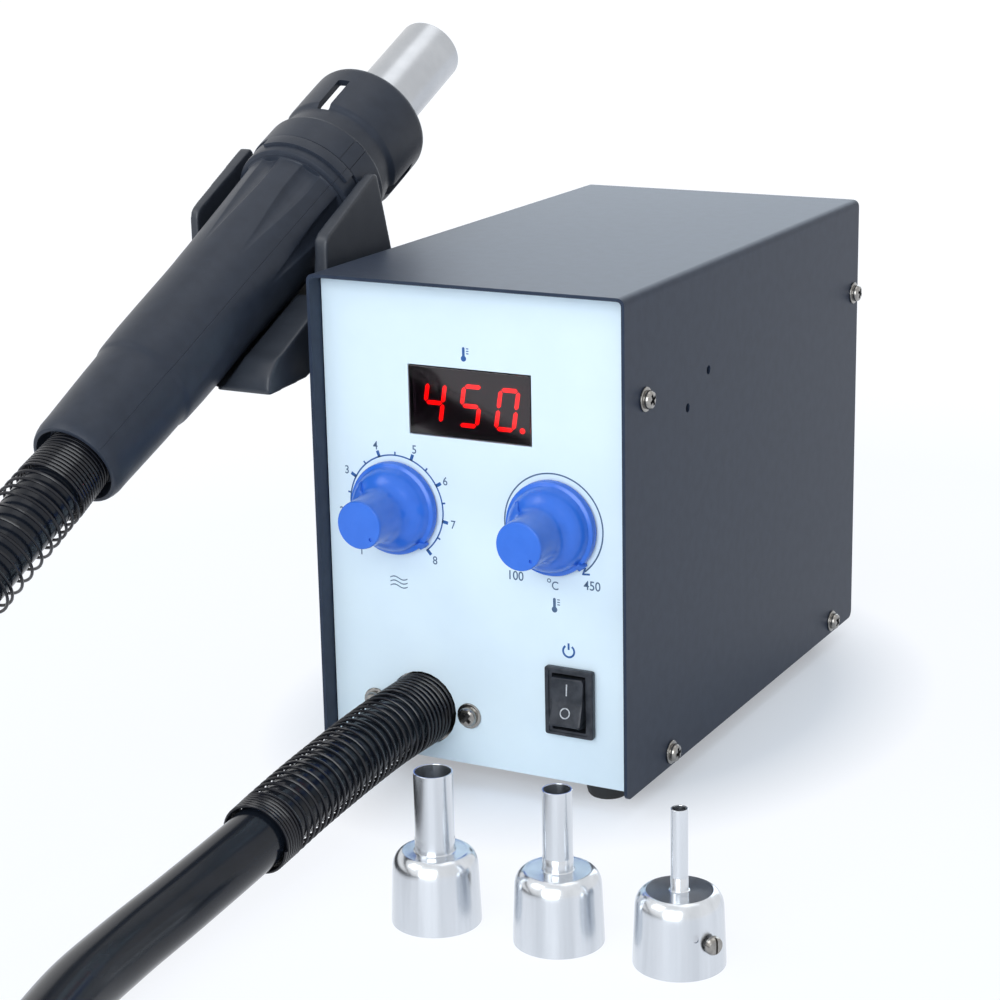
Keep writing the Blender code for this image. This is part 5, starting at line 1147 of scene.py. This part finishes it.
WAIST_RADIUS = 16.35
GRIP_LENGTH = 43
GRIP_RISE = 1.65
FLUTES = (81, 123)
FLUTES_FULL = 116
FLUTE_FIRST = radians(-7.5)
FLUTE_COUNT = 8
FLUTE_DEPTH = 1.1
FLUTE_RADIUS = 17.4
LIP = (127, 130.95)
LIP_TURN = (radians(-20), radians(68))
LIP_HEIGHT = 0.9


def handle_shape(angle, s):
    """How much the handle's surface stands out or in at a place."""
    start, end = FLUTES
    if start < s < end:
        pitch = 2 * pi / FLUTE_COUNT
        off = (angle - FLUTE_FIRST + pitch / 2) % pitch - pitch / 2
        t = min((s - start) / (FLUTES_FULL - start), 1)
        rise = t * t * (3 - 2 * t)
        across = abs(off) * FLUTE_RADIUS / (0.6 + 2.6 * rise)
        if across < 1:
            return -FLUTE_DEPTH * rise * (1 - across ** 2.6)
    turn = (angle + pi) % (2 * pi) - pi
    if LIP[0] < s < LIP[1] and LIP_TURN[0] < turn < LIP_TURN[1]:
        return LIP_HEIGHT
    return 0


def handle_half(outer, first, last):
    """Half of the handle's shell, turned from one angle to another, with its flutes and lip."""
    bm = bmesh.new()
    rows = []
    for k in range(HANDLE_COLUMNS + 1):
        angle = first + (last - first) * k / HANDLE_COLUMNS
        loop = [(radius + handle_shape(angle, s), s) for radius, s in outer] + HANDLE_INNER
        rows.append([bm.verts.new((radius * cos(angle), radius * sin(angle), s)) for radius, s in loop])
    return skin(bm, rows)


def make_handle():
    steps = [WAIST + 1.5 + 1.25 * k for k in range(34)]
    grip = [(WAIST_RADIUS + GRIP_RISE * ((s - WAIST) / GRIP_LENGTH) ** 1.15, s) for s in steps]
    outer = HANDLE_OUTER + grip + HANDLE_FLANGE
    for word, first in (("lower", SEAM), ("upper", SEAM + pi)):
        shell = handle_half(outer, first + SEAM_GAP, first + pi - SEAM_GAP)
        if word == "upper":
            notch = ease(box((15.4, -1.3, 46.5), (18, 1.3, 55)), 0.6, 2)
            shell = cut(shell, moved(notch, rotate(radians(-62))))
        piece(
            f"handle_half_{word}", shell, "handpiece", HANDLE, HANDPIECE_FRAME,
            f"handle_{word}_shell", flat=False,
        )


COLLAR_PROFILE = [
    (20.1, 131.3), (20.4, 131.42), (20.5, 131.8), (20.5, 141), (20.42, 141.5), (20.2, 141.9), (19.75, 142.1),
    (19.55, 142.4), (19.4, 143.2), (19.15, 145.2), (18.75, 147.4), (18.55, 148.6), (18.6, 149.3), (18.9, 150),
    (19.35, 150.6), (19.6, 151.4), (19.7, 160), (19.7, 168.6), (19.62, 169.6), (19.35, 170.4), (18.9, 170.9),
    (18.4, 171.1), (18, 171.05), (17.7, 170.7), (17.5, 151.5), (16.5, 148), (16.5, 136), (10.9, 136),
    (10.9, 132.8), (13.3, 132.8), (13.3, 131.3),
]
SLOT_ANGLES = (4, -54, 126, 184)

# Fine lines on the collar: low and high corner of a cutter, and the angles it cuts at
COLLAR_LINES = (
    ((20.2, -0.11, 131), (21, 0.11, 141.9), (50.6, 63)),
    ((20, -0.62, 141.2), (21, 0.62, 141.42), (53.7, 56.8, 59.9)),
)


def make_collar():
    collar = lathe(COLLAR_PROFILE, 192, ring=True)
    tools = []
    for angle in SLOT_ANGLES:
        slot = slab(soften(rectangle(14.4, 4.1, (156.2, 0)), 0.35), 12.8, 23)
        tools.append(moved(outward(moved(slot, SWAP_X_AND_Z)), rotate(radians(angle))))
    for low, high, angles in COLLAR_LINES:
        tools += [moved(box(low, high), rotate(radians(angle))) for angle in angles]
    collar = cut(collar, *tools)
    piece("vented_collar", collar, "handpiece", HANDLE, HANDPIECE_FRAME, "nose_collar")


BARREL_PROFILE = [
    (10.35, 212.4), (10.52, 212.3), (10.6, 212.05), (10.6, 132.6), (13, 132.6), (13, 131.3), (10, 131.3),
    (10, 212.1), (10.12, 212.35),
]
HEATER_RADIUS = 9.7
HEATER_HOLE_RADIUS = 1.6
HEATER_HOLE_CIRCLE = 6


def make_barrel():
    barrel = lathe(BARREL_PROFILE, 128, ring=True)
    piece("steel_barrel", barrel, "handpiece", BARREL_STEEL, HANDPIECE_FRAME, "barrel")
    heater = ease(drum(HEATER_RADIUS, 140, 204, 96), 0.4, 2, SHARP)
    places = [(HEATER_HOLE_CIRCLE * cos(i * pi / 3), HEATER_HOLE_CIRCLE * sin(i * pi / 3)) for i in range(6)]
    holes = [moved(drum(HEATER_HOLE_RADIUS, 139, 205, 24), shift(x, y)) for x, y in [*places, (0, 0)]]
    core = cut(heater, *holes)
    piece("ceramic_core", core, "handpiece", CERAMIC, HANDPIECE_FRAME, "heater_core")


make_handle()
make_collar()
make_barrel()


# Cradle

CRADLE_X = -80.5
CRADLE_HALF_WIDTH = 24.6
EAR_THICKNESS = 7.0
EAR_FRONT = 21.1
TROUGH_DROP = 10.4
COLLAR_BASE_Y = 50.437


def axis_height(y):
    """Height of the handpiece's axis at a place along the case."""
    foot = HANDPIECE_IN_CASE @ Vector((0, 0, 0))
    tip = HANDPIECE_IN_CASE @ Vector((0, 0, HANDLE_LENGTH))
    return foot.z + (y - foot.y) * (tip.z - foot.z) / (tip.y - foot.y)


def under_axis(y, drop):
    """A point of the cradle's side view at a drop under the handpiece's axis."""
    return y, axis_height(y) - drop


def rounded(bm, grain, rounds):
    """Remake a mesh at an even grain and round all its edges."""
    block = new_object("loose", mesh_of("loose", bm))
    remesh = block.modifiers.new("even", "REMESH")
    remesh.mode = "VOXEL"
    remesh.voxel_size = grain
    smooth = block.modifiers.new("round", "SMOOTH")
    smooth.factor = 0.5
    smooth.iterations = rounds
    return result_of(block)


def make_cradle():
    trough = [
        (-12.2, 110.1), (-11.7, 115.1), (-7.7, 119.7),
        *(under_axis(y, TROUGH_DROP) for y in (-3.2, 8.95, 31.1)),
        (59, 134.5), (55, 130.5), (8.3, 111.3),
    ]
    trough = soften(trough, [1.5, 6, 6, 6, 6, 4, 2, 2, 6], steps=5)
    half = CRADLE_HALF_WIDTH - 0.4
    cradle = moved(slab(trough, CRADLE_X - half, CRADLE_X + half), SIDE_VIEW)
    ears = []
    for side, setback, rise in ((1, 0, 0), (-1, 1.8, 5.2)):
        front = EAR_FRONT + setback
        outline = [
            under_axis(front, 16), (front, 150.4 + rise), (51.1 + setback, 166.3 + rise), (60.5, 136.0),
            (56.5, 133),
        ]
        outline = soften(outline, [0, 4.5, 2.2, 2, 0], steps=5)
        outer = CRADLE_X + side * CRADLE_HALF_WIDTH
        inner = outer - side * EAR_THICKNESS
        ears.append(moved(slab(outline, min(inner, outer), max(inner, outer)), SIDE_VIEW))
    (y1, z1), (y2, z2) = CRADLE_HOLES
    pad = [
        (y1 - 8, z1 - 4), (y1, z1 - 8), (y2 + 8, z2 - 5.6), (y2 + 2.4, axis_height(y2) - 24),
        under_axis(y1 - 8, 24),
    ]
    wall = -CASE_WIDTH / 2 - GAP
    head_face = CRADLE_X + CRADLE_HALF_WIDTH - 3.7
    ears.append(moved(slab(soften(pad, 3), head_face, wall), SIDE_VIEW))
    tools = []
    ear_start = HANDLE_LENGTH + (EAR_FRONT - COLLAR_BASE_Y) / cos(HANDPIECE_TILT) - 4
    for radius, start, end in ((17.6, ear_start - 68, ear_start + 1.2), (20.9, ear_start, 172)):
        tools.append(moved(drum(radius, start, end, 96), HANDPIECE_IN_CASE))
        tools.append(moved(box((0, -radius, start), (3 * radius, radius, end)), HANDPIECE_IN_CASE))
    for y, z in CRADLE_HOLES:
        tools.append(moved(drum(1.8, -14, 14), shift(wall, y, z) @ FACING_RIGHT))
    cradle = rounded(cut(join(cradle, *ears), *tools), 0.5, 9)
    piece(
        "handpiece_cradle", cradle, "station", CRADLE, stands_for="cradle",
        angle=radians(60), flat=False,
    )
    for word, (y, z) in zip(("front", "rear"), CRADLE_HOLES):
        screw = screw_mesh(washer=0, length=12)
        place = placed(head_face, y, z, FACING_LEFT)
        piece(f"rest_screw_{word}", screw, "station", NICKEL, place, f"cradle_screw_{word}")


make_cradle()


# Nozzles

CLAMP_HEIGHT = 9
CLAMP_PROFILE = [
    (0, 13.9), (1.5, 13.85), (2.1, 13.55), (2.4, 12.9), (2.4, 12.1), (2.3, 12), (1.2, 12),
    (1.2, 10.7), (0, 10.7),
]
BELL_SLOT = (1.3, 2.3)
BELL_SLOT_HEIGHT = 11.2
BELL_SLOT_TURN = radians(20)


def make_nozzle(word, x, y, tube, facing):
    """A spun bell with a tube on top and the screw that clamps it."""
    profile = [
        (tube - 0.12, 41), (tube, 40.9), (tube, 23.1), (tube + 0.1, 22.95), (tube + 0.1, 19.9),
        (tube + 0.25, 19.6), (tube + 0.6, 19.42), (7.9, 19.35), (8.15, 19.45), (8.5, 19.4), (9.1, 19.15),
        (9.75, 18.65), (10.35, 17.9), (10.8, 16.95), (11.02, 15.9), (11.1, 14.8), (11.25, 11), (11.5, 5),
        (11.68, 0.4), (11.65, 0.1),
        (11.45, 0), (11.2, 0.1), (11.15, 0.5), (10.6, 14.8), (10.45, 16), (9.9, 17.4), (9, 18.4),
        (7.5, 18.85), (tube + 0.2, 18.9), (tube - 0.45, 19.3), (tube - 0.45, 40.85), (tube - 0.38, 41),
    ]
    turn = rotate(facing) @ FACING_RIGHT
    hole = moved(drum(1.5, 8, 13), shift(0, 0, CLAMP_HEIGHT) @ turn)
    slot_turn = rotate(facing - BELL_SLOT_TURN) @ FACING_RIGHT @ rotate(pi / 2)
    slot = moved(slab(capsule(*BELL_SLOT), 8, 13), shift(0, 0, BELL_SLOT_HEIGHT) @ slot_turn)
    nozzle = cut(lathe(profile, 160, ring=True), hole, slot)
    body = f"nozzle_{word}"
    piece(f"spun_nozzle_{word}", nozzle, body, STEEL, placed(x, y, BENCH), body)
    screw = cut(lathe(CLAMP_PROFILE, 48), slab(rectangle(5, 0.55), 13.15, 15))
    place = placed(x, y, BENCH + CLAMP_HEIGHT, turn)
    piece(f"clamp_screw_{word}", screw, body, NICKEL, place, f"nozzle_screw_{word}")


for word, (x, y, tube, facing) in NOZZLES.items():
    make_nozzle(word, x, y, tube, facing)


# Solids that stay as they are, with their own finish

KEPT_FINISH = (
    (PANEL, ["front_panel"]),
    (POWDER, ["rear_panel", "chassis_tray"]),
    (SWITCH, ["mains_inlet", "air_potentiometer", "temperature_potentiometer"]),
    (BOARD, ["control_board", "main_board"]),
    (ALUMINIUM, ["heat_sink"]),
    (IRON, ["transformer_core", "blower_motor"]),
    (COPPER, ["transformer_coil"]),
    (BLOWER, ["blower_housing", "blower_cover", "blower_rotor", "air_duct"]),
    (NICKEL, ["hose_clamp_plate", "air_pot_nut", "temperature_pot_nut", "air_shaft", "temperature_shaft"]),
)
for material, nodes in KEPT_FINISH:
    for node in nodes:
        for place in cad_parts[node].material_slots:
            place.material = material
